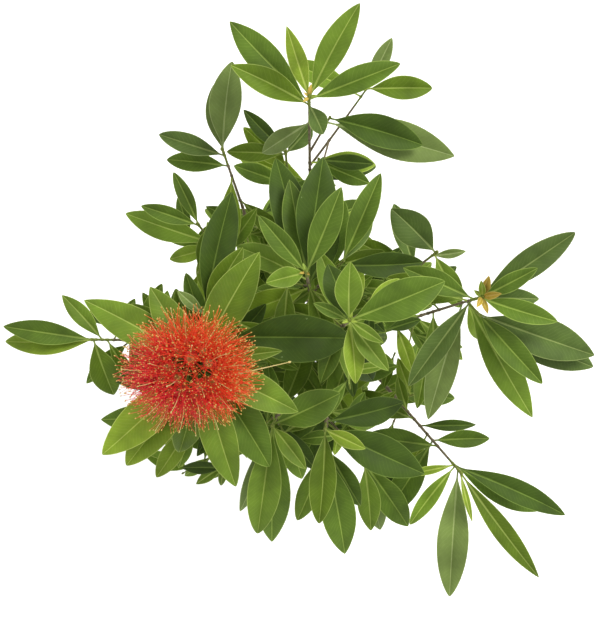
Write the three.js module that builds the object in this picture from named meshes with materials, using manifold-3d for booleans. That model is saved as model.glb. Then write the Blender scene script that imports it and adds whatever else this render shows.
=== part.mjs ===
/**
 * A young red-flowered penda shrub, rooted in the ground, in millimetres with +Z up.
 *
 * The origin is the middle of the flat cut where the trunk meets the ground. The trunk forks into
 * boughs, and each bough ends where it enters a shoot. A shoot is one mass of foliage: a stem with
 * its side twigs, buds and leaves, fused into a single solid. Every leaf starts inside the wood
 * that carries it, and beyond its stalk it stays clear of all the leaves and wood placed before it.
 */
import * as THREE from "three";
import { mergeVertices } from "three/addons/utils/BufferGeometryUtils.js";
import Module from "manifold-3d";

const wasm = await Module();
wasm.setup();

// Driving dimensions, in millimetres and degrees.
const JOINT_GAP = 0.3; // between the end of one piece and the piece that carries it
const CLEARANCE = 3; // between the sample points of two leaves, or of a leaf and wood
const SAMPLE_STEP = 2.5; // between the sample points of one leaf or twig

const TRUNK = {
  top: [3, 4, 66],
  footRadius: 7.5,
  topRadius: 5.5,
  flare: 4, // how far the root flare adds to the foot's radius
  flareHeight: 11,
  lobes: 5,
  lobeDepth: 0.35, // of the flare
  sides: 15,
  rings: 7,
};
const BOUGH = { tipRadius: 1.4, sides: 6, rings: 8, climb: 0.9, handle: 0.35 };
const STEM = { rootRadius: 1.2, tipRadius: 0.8, sides: 4, rings: 5, sweep: 0.1, sag: 0.15 };
const TWIG = { rootRadius: 0.9, tipRadius: 0.6, sides: 3, rings: 3, sweep: 0.1, sag: 0.2 };
const BUD = { length: 6, radius: 1.5, sides: 4 };

const LEAF = {
  stalk: 0.12, // share of the length that is stalk
  stalkRadius: 0.7,
  thickness: 0.02, // of the length, at the midrib
  widthRatio: [0.29, 0.36],
  droop: [20, 32], // how far the midrib bends down from stem to tip
  roll: [-13, 13],
  fold: [8, 18], // how far each half is raised from the midrib
  sway: [-9, 9],
  draws: 5, // droop, roll, fold, width and sway are each drawn from their range
  widest: 1.1, // over 1 puts the widest place past the middle
  taper: 1.1,
  stations: [0, 0.3, 0.66, 1],
  cornerShare: 1.12, // corners stand out this far, to make up for the straight edges between them
  clearFrom: 0.2, // the share of a leaf next to the stem that may lie close to other leaves
};
const LIFTS = [0, 6, -6, 12, -12, 18, -18, 26, -26]; // degrees a leaf may turn up or down to find room

// Older leaves follow the golden angle down each stem, below the leaves listed for its shoot.
const FILL = {
  spacing: 13,
  turn: 137.5,
  first: 10, // the first one's place below the lowest listed leaf
  deepest: 30, // but no further than this below the bud
  length: [42, 60],
  rise: [-12, 26],
  bareFoot: 8,
};

// The crown was seen from straight above: older leaves lie beneath the listed ones, and only show in
// its heart, clear of its light gaps.
const EYE = new THREE.Vector3(-20, 30, 1900);
const HEART = { centre: [-18, 12], radius: 92, height: 300 };
const GAPS = [
  [8, 66, 5],
  [39, 5, 5],
  [32, -23, 6],
  [34, -56, 6],
  [4, -77, 6],
  [23, -88, 6],
  [-56, -75, 6],
  [-20, 68, 3],
];
const SHADE_CELL = 4;
const SHADED_SHARE = 0.9;

const BLOOM = {
  coreRadius: 30,
  coreHeight: 16,
  around: 12, // the dome's sections
  down: 7,
  samples: [48, 24], // sample points around and down the dome
  rise: 14, // of the dome's middle above the bud
  reach: 51, // from the dome's middle to the longest stamens' tips
  squash: 0.75,
  narrow: 0.86, // the head is narrower from front to back than from side to side
  stamens: 44,
  stamenRadius: 1.1,
  stamenSides: 3,
  lowest: -5, // degrees above the level
  highest: 88,
};

const SEED = { first: 101, step: 37 };
const RANDOM = { multiplier: 48271, modulus: 2147483647 };

const BARK_COLOUR = 0x6f5a45;
const TWIG_COLOURS = [0x5c8a34, 0x4d7a33, 0x6c9a3c, 0x3f6a30];

/*
 * The shoots. A bough leaves its parent at a share of the parent's length and ends at the shoot's
 * root, where the stem starts and runs to its bud. A leaf is [distance below the bud, bearing
 * from +X, length, rise above the level at its base], with its width where it is narrow or broad
 * for its length. A side twig leaves the stem at a share of its length.
 */
const SHOOTS = [
  {
    name: "leader",
    bough: { from: "trunk", at: 0.93, radius: 3.6, climb: 6 },
    root: [5, 9, 195],
    bud: [12, 23, 412],
    leaves: [
      [1, -37, 31, 42, 9], [3, 93, 40, 30, 19], [4, -55, 43, 26], [5, 21, 68, 18, 27], [7, -80, 42, 20],
      [9, 152, 26, 16], [12, 106, 40, 8, 20],
    ],
    twigs: [],
  },
  {
    name: "centre",
    bough: { from: "leader", at: 0.2, radius: 2.6 },
    root: [-9, 27, 190],
    bud: [-16, 54, 400],
    leaves: [
      [1, -166, 30, 35, 15], [2, 129, 50, 26], [4, 66, 62, 24, 20], [14, 83, 80, 10, 27], [20, 101, 66, 4],
      [28, 104, 86, 2],
    ],
    twigs: [{ at: 0.45, bud: [9, 62, 350], leaves: [[2, 66, 66, 14, 18], [5, 58, 46, 0], [9, -2, 58, 2]] }],
  },
  {
    name: "north",
    bough: { from: "trunk", at: 0.7, radius: 3.2 },
    root: [-12, 84, 185],
    bud: [-14, 169, 395],
    leaves: [
      [1, 110, 56, 45, 13], [2, 65, 71, 25, 20], [4, 20, 65, 22, 19], [9, 137, 78, 4, 22],
      [13, 152, 60, 26, 19], [42, -150, 50, -30, 15],
    ],
    twigs: [
      {
        at: 0.6,
        bud: [0, 159, 352],
        leaves: [[1, -13, 66, 12, 24], [8, -13, 92, 2, 28], [1, 185, 20, 30, 15]],
      },
      { at: 0.5, bud: [26, 180, 352], leaves: [[2, 63, 38, 15, 12], [3, 2, 45, 12, 18]] },
      { at: 0.3, bud: [-7, 134, 305], leaves: [[1, -5, 40, 5], [5, -24, 42, -4]] },
    ],
  },
  {
    name: "north_inner",
    bough: { from: "north", at: 0.35, radius: 2.1 },
    root: [-22, 54, 145],
    bud: [-30, 139, 310],
    leaves: [[2, 137, 42, 12], [4, 176, 42, 4], [52, 160, 44, 2], [3, 45, 28, 25, 15]],
    twigs: [],
  },
  {
    name: "northwest",
    bough: { from: "trunk", at: 0.86, radius: 2.8 },
    root: [-46, 56, 155],
    bud: [-73, 139, 330],
    leaves: [[1, 88, 61, 18, 24], [5, 102, 48, 6], [10, 163, 48, 10], [27, 172, 44, 6]],
    twigs: [],
  },
  {
    name: "west_upper",
    bough: { from: "northwest", at: 0.45, radius: 2 },
    root: [-53, 36, 145],
    bud: [-91, 89, 300],
    leaves: [[1, 112, 41, 22], [3, 160, 43, 16], [44, 163, 68, 6, 20], [52, -165, 38, -10]],
    twigs: [],
  },
  {
    name: "flower",
    bough: { from: "trunk", at: 0.63, radius: 3.2 },
    root: [-44, -2, 175],
    bud: [-90, -7, 372],
    leaves: [
      [6, 120, 61, 20], [7, 12, 58, 14, 12], [8, 64, 87, 12, 29], [9, -23, 75, 12], [11, -134, 92, 8, 28],
      [12, 147, 90, 8, 26], [14, -76, 88, 6, 26], [18, -124, 88, 2], [20, -53, 86, 0],
      [16, -100, 76, 0, 24], [26, -86, 74, -4, 22], [24, -168, 66, -4, 22],
    ],
    twigs: [
      { at: 0.7, bud: [-85, 30, 336], leaves: [[2, 80, 84, 10], [4, 64, 54, 18], [6, 143, 26, 10]] },
      { at: 0.75, bud: [-68, 12, 350], leaves: [[2, 0, 84, 8, 36]] },
    ],
  },
  {
    name: "far_west",
    bough: { from: "flower", at: 0.5, radius: 2.1 },
    root: [-94, 5, 150],
    bud: [-169, 8, 250],
    leaves: [
      [1, 172, 66, 10, 18], [1, -74, 48, -15, 22], [4, -175, 68, 2, 20], [12, 128, 44, 8, 14],
      [18, -60, 40, -8], [26, 60, 34, 5],
    ],
    twigs: [],
  },
  {
    name: "southwest",
    bough: { from: "flower", at: 0.3, radius: 2.1 },
    root: [-46, -24, 140],
    bud: [-98, -52, 270],
    leaves: [[2, -121, 46, 6], [3, -104, 36, 0], [6, 174, 68, 4]],
    twigs: [
      { at: 0.5, bud: [-74, -87, 230], leaves: [[2, 178, 33, 5], [5, -150, 28, 0], [8, -105, 22, -15]] },
    ],
  },
  {
    name: "east",
    bough: { from: "trunk", at: 0.78, radius: 3.2 },
    root: [42, 16, 180],
    bud: [100, 38, 388],
    leaves: [
      [0, 82, 20, 55], [3, 26, 43, 28], [5, -21, 54, 22, 16], [9, 34, 78, 12, 21], [14, 2, 45, 2],
      [18, 155, 52, 10], [24, -127, 72, 8, 18], [32, -70, 40, -30], [44, -107, 88, -4, 21],
    ],
    twigs: [
      {
        at: 0.85,
        bud: [100, 26, 369],
        leaves: [[1, -21, 84, 6, 28], [3, -28, 92, -3, 26], [5, -50, 66, 14, 19], [18, -63, 93, 2, 22]],
      },
    ],
  },
  {
    name: "northeast",
    bough: { from: "east", at: 0.4, radius: 2.1 },
    root: [34, 34, 155],
    bud: [74, 69, 318],
    leaves: [
      [2, 132, 44, 18, 25], [3, 20, 14, 35], [12, 5, 24, 10, 7], [6, -62, 42, 0, 18], [60, 106, 50, 12],
    ],
    twigs: [],
  },
  {
    name: "southeast",
    bough: { from: "trunk", at: 0.5, radius: 3.1 },
    root: [36, -18, 150],
    bud: [92, -84, 300],
    leaves: [
      [1, -79, 36, 20, 5], [3, -55, 97, 4, 15], [6, -95, 92, 6, 24], [12, -20, 88, 8, 18],
      [12, -131, 54, 4, 13], [14, -168, 34, 14, 7], [17, -33, 78, -6, 18], [48, 172, 54, 8, 20],
      [58, 5, 42, 8, 14], [58, -120, 70, -6, 22], [84, 0, 42, 10, 9], [108, 110, 28, 20],
    ],
    twigs: [],
  },
  {
    name: "south",
    bough: { from: "trunk", at: 0.9, radius: 2.8 },
    root: [4, -22, 160],
    bud: [-3, -52, 342],
    leaves: [[1, -25, 32, 30], [5, -91, 66, 8], [8, -26, 76, 12, 28], [30, 10, 60, -4]],
    twigs: [
      { at: 0.6, bud: [-2, -69, 312], leaves: [[1, -78, 80, -3, 25], [4, -109, 58, -8], [6, -60, 52, -8]] },
    ],
  },
  {
    name: "south_west",
    bough: { from: "south", at: 0.3, radius: 2.1 },
    root: [-18, -20, 155],
    bud: [-39, -49, 345],
    leaves: [
      [1, -50, 39, 30], [4, 23, 51, 14, 25], [6, -98, 84, 8, 25], [14, -92, 98, 0, 26], [16, 95, 42, 5],
      [20, -107, 80, -8, 14], [26, 16, 40, 4],
    ],
    twigs: [],
  },
  {
    name: "south_low",
    bough: { from: "southeast", at: 0.35, radius: 2 },
    root: [15, -38, 125],
    bud: [26, -81, 262],
    leaves: [[2, -81, 50, 0], [4, -53, 62, -2], [7, -75, 60, -8]],
    twigs: [],
  },
];

// Random numbers and small vector helpers.
const degrees = Math.PI / 180;
const UP = new THREE.Vector3(0, 0, 1);

/** A repeatable stream of numbers from 0 to 1. */
function seeded(seed) {
  let state = seed;
  return () => {
    state = (state * RANDOM.multiplier) % RANDOM.modulus;
    return state / RANDOM.modulus;
  };
}

/** The value a share of the way from the first of a pair to the second. */
function between([low, high], share) {
  return low + (high - low) * share;
}

function vector(numbers) {
  return new THREE.Vector3(...numbers);
}

// Solids: closed surfaces through rings of points.

/** A closed surface through rings that run anticlockwise seen from the far end; one point is a tip. */
function loft(rings) {
  const faces = [];
  let start = 0;
  for (let i = 0; i + 1 < rings.length; i += 1) {
    const here = rings[i].length;
    const next = rings[i + 1].length;
    for (let k = 0; k < Math.max(here, next); k += 1) {
      const a = start + (k % here);
      const b = start + ((k + 1) % here);
      const c = start + here + ((k + 1) % next);
      const d = start + here + (k % next);
      if (here > 1) {
        faces.push(a, b, c);
      }
      if (next > 1) {
        faces.push(a, c, d);
      }
    }
    start += here;
  }
  for (let k = 1; k + 1 < rings[0].length; k += 1) {
    faces.push(0, k + 1, k);
  }
  for (let k = 1; k + 1 < rings[rings.length - 1].length; k += 1) {
    faces.push(start, start + k, start + k + 1);
  }
  const geometry = new THREE.BufferGeometry().setFromPoints(rings.flat());
  geometry.setIndex(faces);
  return geometry;
}

/** The rings of a round limb along a curve, turned as little as possible from each to the next. */
function limbRings(curve, radiusAt, sides, count) {
  const rings = [];
  const across = new THREE.Vector3(1, 0, 0);
  for (let i = 0; i <= count; i += 1) {
    const t = i / count;
    const centre = curve.getPoint(t);
    const along = curve.getTangent(t);
    across.addScaledVector(along, -across.dot(along)).normalize();
    const other = new THREE.Vector3().crossVectors(along, across);
    const ring = [];
    for (let k = 0; k < sides; k += 1) {
      const angle = (2 * Math.PI * k) / sides;
      const radius = radiusAt(t, angle);
      const point = centre.clone().addScaledVector(across, radius * Math.cos(angle));
      ring.push(point.addScaledVector(other, radius * Math.sin(angle)));
    }
    rings.push(ring);
  }
  return rings;
}

function toSolid(geometry) {
  const mesh = new wasm.Mesh({
    numProp: 3,
    vertProperties: new Float32Array(geometry.getAttribute("position").array),
    triVerts: new Uint32Array(geometry.getIndex().array),
  });
  return new wasm.Manifold(mesh);
}

/** The largest body of a solid, so that no scrap or sealed hollow is kept. */
function largestBody(solid) {
  return solid.decompose().reduce((best, body) => (body.volume() > best.volume() ? body : best));
}

function toMesh(name, solid, colour) {
  const { vertProperties, triVerts } = solid.getMesh();
  const geometry = new THREE.BufferGeometry();
  geometry.setAttribute("position", new THREE.BufferAttribute(vertProperties, 3));
  geometry.setIndex(new THREE.BufferAttribute(triVerts, 1));
  const material = new THREE.MeshStandardMaterial({ color: colour, roughness: 0.6, metalness: 0 });
  const mesh = new THREE.Mesh(geometry, material);
  mesh.name = name;
  return mesh;
}

// The space taken so far, as sample points sorted into cubes as wide as the clearance.
const taken = new Map();

function cubeKey(x, y, z) {
  return `${x},${y},${z}`;
}

function claim(points) {
  for (const point of points) {
    const key = cubeKey(...point.toArray().map((value) => Math.floor(value / CLEARANCE)));
    if (!taken.has(key)) {
      taken.set(key, []);
    }
    taken.get(key).push(point);
  }
}

function isClear(point) {
  const [x, y, z] = point.toArray().map((value) => Math.floor(value / CLEARANCE));
  for (let i = x - 1; i <= x + 1; i += 1) {
    for (let j = y - 1; j <= y + 1; j += 1) {
      for (let k = z - 1; k <= z + 1; k += 1) {
        const near = taken.get(cubeKey(i, j, k)) ?? [];
        if (near.some((other) => other.distanceTo(point) < CLEARANCE)) {
          return false;
        }
      }
    }
  }
  return true;
}

// The trunk, from its flared foot at the ground to its fork.
const trunkCurve = new THREE.QuadraticBezierCurve3(
  new THREE.Vector3(0, 0, 0),
  new THREE.Vector3(0, 0, TRUNK.top[2] / 2),
  vector(TRUNK.top),
);

function trunkRadius(t, angle) {
  const flare = TRUNK.flare * Math.exp((-t * TRUNK.top[2]) / TRUNK.flareHeight);
  const lobe = 1 + TRUNK.lobeDepth * Math.cos(TRUNK.lobes * angle);
  return between([TRUNK.footRadius, TRUNK.topRadius], t) + flare * lobe;
}

// Limbs: each keeps its curve and radius, so that others can branch from it.

/** A limb's solid, grown on every side and past its far end by `margin`. */
function limbSolid(limb, margin) {
  const radiusAt = (t, angle) => limb.radiusAt(t, angle) + margin;
  const rings = limbRings(limb.curve, radiusAt, limb.sides, limb.count);
  const past = limb.curve.getTangent(1).multiplyScalar(margin);
  rings[rings.length - 1].forEach((point) => point.add(past));
  return toSolid(loft(rings));
}

/** Sample points on a limb's surface and along its axis. */
function limbSamples(curve, radiusAt, sides) {
  const count = Math.ceil(curve.getLength() / SAMPLE_STEP);
  const rings = limbRings(curve, radiusAt, sides, count);
  const axis = rings.map((ring, i) => curve.getPoint(i / count));
  return rings.flat().concat(axis);
}

/** The curve of a shoot's stem or twig: it sweeps outwards first and turns up to its bud. */
function stemCurve(root, bud, style) {
  const run = Math.hypot(bud.x - root.x, bud.y - root.y);
  const middle = root.clone().add(bud).multiplyScalar(0.5);
  middle.x += style.sweep * (bud.x - root.x);
  middle.y += style.sweep * (bud.y - root.y);
  middle.z -= style.sag * run;
  return new THREE.QuadraticBezierCurve3(root, middle, bud);
}

/** A bough from its parent's axis to the gap before the shoot's root, in line with the stem there. */
function boughLimb(shoot, parent) {
  const start = parent.curve.getPoint(shoot.bough.at);
  const arrival = shoot.stem.getTangent(0);
  const tip = vector(shoot.root).addScaledVector(arrival, -JOINT_GAP);
  const departure = tip.clone().sub(start).setZ(0).normalize();
  departure.addScaledVector(UP, shoot.bough.climb ?? BOUGH.climb).normalize();
  const handle = BOUGH.handle * start.distanceTo(tip);
  const curve = new THREE.CubicBezierCurve3(
    start,
    start.clone().addScaledVector(departure, handle),
    tip.clone().addScaledVector(arrival, -handle),
    tip,
  );
  const radiusAt = (t) => between([shoot.bough.radius, BOUGH.tipRadius], t);
  return { curve, radiusAt, sides: BOUGH.sides, count: BOUGH.rings };
}

// The flower head stands on the bud of the shoot named flower.
const bloomCentre = vector(SHOOTS.find((shoot) => shoot.name === "flower").bud);
bloomCentre.z += BLOOM.rise;

/** The dome of packed stamens, as a closed surface. */
function bloomDome(around, down) {
  const dome = new THREE.SphereGeometry(1, around, down);
  dome.deleteAttribute("normal");
  dome.deleteAttribute("uv");
  dome.rotateX(Math.PI / 2);
  dome.scale(BLOOM.coreRadius, BLOOM.coreRadius, BLOOM.coreHeight);
  dome.translate(...bloomCentre.toArray());
  return mergeVertices(dome);
}

// Leaves.

/** One leaf: its midrib leaves the stem at `rise`, droops to its tip and bends a little sideways. */
function makeLeaf(base, bearing, length, rise, width, draw) {
  return {
    base,
    length,
    bearing: bearing * degrees,
    rise: rise * degrees,
    droop: between(LEAF.droop, draw[0]) * degrees,
    roll: between(LEAF.roll, draw[1]) * degrees,
    fold: between(LEAF.fold, draw[2]) * degrees,
    halfWidth: (width ?? length * between(LEAF.widthRatio, draw[3])) / 2,
    sway: between(LEAF.sway, draw[4]) * degrees,
  };
}

/** Half the blade's width at a share of the leaf's length. */
function halfWidthAt(leaf, t) {
  const share = Math.max(0, (t - LEAF.stalk) / (1 - LEAF.stalk));
  const blade = leaf.halfWidth * Math.sin(Math.PI * share ** LEAF.widest) ** LEAF.taper;
  return Math.max(blade, LEAF.stalkRadius * (1 - t));
}

/** A place on the leaf: `t` along it, `across` from -1 to 1 (its left margin), `lift` off the blade. */
function leafPoint(leaf, t, across, lift) {
  const angle = leaf.rise - leaf.droop * t;
  const run = (leaf.length * (Math.sin(leaf.rise) - Math.sin(angle))) / leaf.droop;
  const climb = (leaf.length * (Math.cos(angle) - Math.cos(leaf.rise))) / leaf.droop;
  const drift = (leaf.length * leaf.sway * t * t) / 2;
  const ahead = new THREE.Vector3(Math.cos(leaf.bearing), Math.sin(leaf.bearing), 0);
  const left = new THREE.Vector3(-ahead.y, ahead.x, 0);
  const normal = ahead.clone().multiplyScalar(-Math.sin(angle)).addScaledVector(UP, Math.cos(angle));
  const roll = leaf.roll * t;
  const side = left.clone().multiplyScalar(Math.cos(roll)).addScaledVector(normal, Math.sin(roll));
  const face = normal.multiplyScalar(Math.cos(roll)).addScaledVector(left, -Math.sin(roll));
  const width = halfWidthAt(leaf, t) * across;
  return leaf.base
    .clone()
    .addScaledVector(ahead, run)
    .addScaledVector(UP, climb)
    .addScaledVector(left, drift)
    .addScaledVector(side, width * Math.cos(leaf.fold))
    .addScaledVector(face, Math.abs(width) * Math.sin(leaf.fold) + lift);
}

/** The leaf as a thin solid: a sharp left and right margin, and a ridge along its midrib. */
function leafSolid(leaf) {
  const half = (LEAF.thickness * leaf.length) / 2;
  const edge = LEAF.cornerShare;
  const rings = LEAF.stations.map((t) => {
    if (t === 1) {
      return [leafPoint(leaf, t, 0, 0)];
    }
    const corners = [[edge, 0], [0, half], [-edge, 0], [0, -half]];
    return corners.map(([across, lift]) => leafPoint(leaf, t, across, lift));
  });
  return toSolid(loft(rings));
}

/** Sample points all over the blade, past the part next to the stem. */
function leafSamples(leaf) {
  const points = [];
  const along = Math.ceil((leaf.length * (1 - LEAF.clearFrom)) / SAMPLE_STEP);
  for (let i = 0; i <= along; i += 1) {
    const t = between([LEAF.clearFrom, 1], i / along);
    const across = Math.ceil(halfWidthAt(leaf, t) / SAMPLE_STEP);
    for (let k = -across; k <= across; k += 1) {
      points.push(leafPoint(leaf, t, k / across, 0));
    }
  }
  return points;
}

// What shows from above, on a level plane through the crown: the height of the top listed leaf there.
const shade = new Map();

function seenFromAbove(point) {
  const share = (EYE.z - HEART.height) / (EYE.z - point.z);
  return [EYE.x + (point.x - EYE.x) * share, EYE.y + (point.y - EYE.y) * share];
}

function shadeKey([x, y]) {
  return `${Math.floor(x / SHADE_CELL)},${Math.floor(y / SHADE_CELL)}`;
}

/** Casts a listed leaf's shade at one of its points. */
function castShade(point) {
  const key = shadeKey(seenFromAbove(point));
  shade.set(key, Math.max(point.z, shade.get(key) ?? 0));
}

/** Whether an older leaf may have this point: beneath a listed leaf, or in the heart outside its gaps. */
function mayShow(point) {
  const [x, y] = seenFromAbove(point);
  if (GAPS.some(([gapX, gapY, radius]) => Math.hypot(x - gapX, y - gapY) < radius)) {
    return false;
  }
  const above = shade.get(shadeKey([x, y]));
  if (above !== undefined) {
    return point.z < above;
  }
  return Math.hypot(x - HEART.centre[0], y - HEART.centre[1]) < HEART.radius;
}

// Shoots: stems and twigs first, then the listed leaves, then the older ones.
SHOOTS.forEach((shoot, index) => {
  shoot.random = seeded(SEED.first + SEED.step * index);
  shoot.stem = stemCurve(vector(shoot.root), vector(shoot.bud), STEM);
  shoot.twigs.forEach((twig) => {
    twig.stem = stemCurve(shoot.stem.getPoint(twig.at), vector(twig.bud), TWIG);
  });
  shoot.placed = [];
});

/** Draws a leaf's own shape and places it at the first lift that has room; if none has, it is left out. */
function placeLeaf(shoot, curve, [below, bearing, length, rise, width], isAllowed) {
  const draw = Array.from({ length: LEAF.draws }, shoot.random);
  const base = curve.getPoint(1 - below / curve.v0.distanceTo(curve.v2));
  for (const lift of LIFTS) {
    const leaf = makeLeaf(base, bearing, length, rise + lift, width, draw);
    const samples = leafSamples(leaf);
    if (isAllowed(samples) && samples.every(isClear)) {
      claim(samples);
      shoot.placed.push(leaf);
      return samples;
    }
  }
  return [];
}

/** Older leaves down a stem, from below its listed leaves to its bare foot. */
function placeOlderLeaves(shoot, curve, listed) {
  const length = curve.v0.distanceTo(curve.v2);
  const lowest = Math.max(...listed.map(([below]) => below));
  let bearing = 360 * shoot.random();
  const top = Math.min(lowest + FILL.first, FILL.deepest);
  for (let below = top; below < length - FILL.bareFoot; below += FILL.spacing) {
    bearing += FILL.turn;
    const size = between(FILL.length, shoot.random());
    const rise = between(FILL.rise, shoot.random());
    placeLeaf(shoot, curve, [below, bearing, size, rise], (samples) => {
      return samples.filter(mayShow).length >= SHADED_SHARE * samples.length;
    });
  }
}

const stemRadius = (t) => between([STEM.rootRadius, STEM.tipRadius], t);
const twigRadius = (t) => between([TWIG.rootRadius, TWIG.tipRadius], t);

const limbs = {
  trunk: { curve: trunkCurve, radiusAt: trunkRadius, sides: TRUNK.sides, count: TRUNK.rings },
};
for (const shoot of SHOOTS) {
  limbs[shoot.name] = boughLimb(shoot, limbs[shoot.bough.from]);
}
for (const limb of Object.values(limbs)) {
  claim(limbSamples(limb.curve, limb.radiusAt, limb.sides));
}
const dome = bloomDome(...BLOOM.samples).getAttribute("position");
claim(Array.from({ length: dome.count }, (_, i) => new THREE.Vector3().fromBufferAttribute(dome, i)));
for (const shoot of SHOOTS) {
  claim(limbSamples(shoot.stem, stemRadius, STEM.sides));
  shoot.twigs.forEach((twig) => claim(limbSamples(twig.stem, twigRadius, TWIG.sides)));
}
for (const shoot of SHOOTS) {
  const carriers = [{ stem: shoot.stem, leaves: shoot.leaves }, ...shoot.twigs];
  for (const carrier of carriers) {
    for (const listed of carrier.leaves) {
      const samples = placeLeaf(shoot, carrier.stem, listed, () => true);
      samples.forEach(castShade);
    }
  }
}
for (const shoot of SHOOTS) {
  placeOlderLeaves(shoot, shoot.stem, shoot.leaves);
  shoot.twigs.forEach((twig) => placeOlderLeaves(shoot, twig.stem, twig.leaves));
}

/** A small pointed bud that ends a stem. */
function budSolid(curve) {
  const along = curve.getTangent(1);
  const foot = curve.getPoint(1).addScaledVector(along, -BUD.length / 2);
  const axis = new THREE.LineCurve3(foot, foot.clone().addScaledVector(along, BUD.length));
  const thirds = limbRings(axis, () => BUD.radius, BUD.sides, 3);
  return toSolid(loft([[foot], thirds[1], thirds[2], [axis.v2]]));
}

/** The flower head: a dome of packed stamens with the longest standing out of it. */
function bloomSolids() {
  const solids = [toSolid(bloomDome(BLOOM.around, BLOOM.down))];
  const sines = [Math.sin(BLOOM.lowest * degrees), Math.sin(BLOOM.highest * degrees)];
  for (let i = 0; i < BLOOM.stamens; i += 1) {
    const bearing = i * FILL.turn * degrees;
    const sine = between(sines, (i + 0.5) / BLOOM.stamens);
    const level = Math.sqrt(1 - sine * sine);
    const direction = new THREE.Vector3(level * Math.cos(bearing), level * Math.sin(bearing), sine);
    direction.y *= BLOOM.narrow;
    direction.z *= BLOOM.squash;
    const tip = bloomCentre.clone().addScaledVector(direction, BLOOM.reach);
    const axis = new THREE.LineCurve3(bloomCentre, tip);
    const [base] = limbRings(axis, () => BLOOM.stamenRadius, BLOOM.stamenSides, 1);
    solids.push(toSolid(loft([base, [tip]])));
  }
  return solids;
}

function shootSolid(shoot) {
  const stem = limbRings(shoot.stem, stemRadius, STEM.sides, STEM.rings);
  const solids = [toSolid(loft(stem)), budSolid(shoot.stem)];
  for (const twig of shoot.twigs) {
    const wood = limbRings(twig.stem, twigRadius, TWIG.sides, TWIG.rings);
    solids.push(toSolid(loft(wood)), budSolid(twig.stem));
  }
  solids.push(...shoot.placed.map(leafSolid));
  if (shoot.name === "flower") {
    solids.push(...bloomSolids());
  }
  return largestBody(wasm.Manifold.union(solids));
}

// The shrub: trunk, boughs cut clear of what they leave, and one mass of foliage per shoot.
const shrub = new THREE.Group();
shrub.add(toMesh("trunk", limbSolid(limbs.trunk, 0), BARK_COLOUR));
const grown = [limbSolid(limbs.trunk, JOINT_GAP)];
for (const shoot of SHOOTS) {
  const limb = limbs[shoot.name];
  const solid = grown.reduce((rest, other) => rest.subtract(other), limbSolid(limb, 0));
  shrub.add(toMesh(`bough_${shoot.name}`, largestBody(solid), BARK_COLOUR));
  grown.push(limbSolid(limb, JOINT_GAP));
}
SHOOTS.forEach((shoot, index) => {
  shrub.add(toMesh(`foliage_${shoot.name}`, shootSolid(shoot), TWIG_COLOURS[index % TWIG_COLOURS.length]));
});

export default shrub;
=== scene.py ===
import math

import bpy
import numpy as np
from mathutils import Matrix, Vector


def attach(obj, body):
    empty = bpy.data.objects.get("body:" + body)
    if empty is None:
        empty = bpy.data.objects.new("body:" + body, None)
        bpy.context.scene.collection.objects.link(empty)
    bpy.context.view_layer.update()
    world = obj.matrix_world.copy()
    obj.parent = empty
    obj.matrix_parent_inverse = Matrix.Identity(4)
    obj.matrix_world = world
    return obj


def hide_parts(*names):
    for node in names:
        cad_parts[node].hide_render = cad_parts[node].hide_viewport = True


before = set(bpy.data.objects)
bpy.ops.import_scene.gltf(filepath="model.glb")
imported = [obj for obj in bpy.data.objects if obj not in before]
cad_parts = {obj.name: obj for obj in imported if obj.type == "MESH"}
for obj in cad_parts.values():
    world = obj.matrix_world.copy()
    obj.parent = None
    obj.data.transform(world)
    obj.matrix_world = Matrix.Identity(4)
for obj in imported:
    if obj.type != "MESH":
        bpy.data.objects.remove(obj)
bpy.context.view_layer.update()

# The view
# The shrub stands on a plain pale floor and is seen from straight above, about 1.9 m up.
# Soft daylight comes from all round, and a broad window light from the upper right.
# Lengths are in millimetres, except for the floor, the window and the crown's height, in metres.
MM = 0.001
EYE = np.array([-20.0, 30.0, 1900.0])
PHOTO_SIDE = 618
EYE_TO_PICTURE = 2295  # in pixels of the photograph
SENSOR = 36
CROWN_HEIGHT = 0.3
DAYLIGHT = 0.8
WINDOW = {"place": (1.9, 2.1, 3.6), "size": 1.6, "power": 118.0, "colour": (1.0, 0.98, 0.93)}
FLOOR = {"size": 12.0, "drop": 0.0003, "spots": 3.0, "detail": 2.0, "rough": 0.9, "gloss": 0.1, "glow": 0.5}

scene = bpy.context.scene
scene.view_settings.view_transform = "Standard"


def shown(name, data):
    """A new object at the origin, in the scene."""
    made = bpy.data.objects.new(name, data)
    scene.collection.objects.link(made)
    return made


def fill(tree, node, inputs):
    """Links each of a node's inputs, or gives it its value."""
    for key, value in inputs.items():
        if isinstance(value, bpy.types.NodeSocket):
            tree.links.new(value, node.inputs[key])
        else:
            node.inputs[key].default_value = value


def put(tree, kind, inputs=None, **settings):
    """A new node: its settings are set first, and then its inputs are filled."""
    node = tree.nodes.new(kind)
    for name, value in settings.items():
        setattr(node, name, value)
    fill(tree, node, inputs or {})
    return node


def spots(tree, place, scale, detail, roughness=0.5):
    """Soft random spots over a place, as a value from 0 to 1."""
    inputs = {"Vector": place, "Scale": scale, "Detail": detail, "Roughness": roughness}
    return put(tree, "ShaderNodeTexNoise", inputs).outputs["Fac"]


def mixed(tree, share, first, second):
    """Two colours mixed by a share."""
    return put(tree, "ShaderNodeMix", {0: share, 6: first, 7: second}, data_type="RGBA").outputs[2]


def paint(red, green, blue):
    """A colour given as it looks on screen, from 0 to 255, in the renderer's linear values."""
    shares = [value / 255 for value in (red, green, blue)]
    linear = [s / 12.92 if s <= 0.04045 else ((s + 0.055) / 1.055) ** 2.4 for s in shares]
    return (*linear, 1.0)


def new_material(name):
    """A material, its node tree and its Principled shader, which is joined to the output."""
    material = bpy.data.materials.new(name)
    material.use_nodes = True
    return material, material.node_tree, material.node_tree.nodes["Principled BSDF"]


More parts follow.
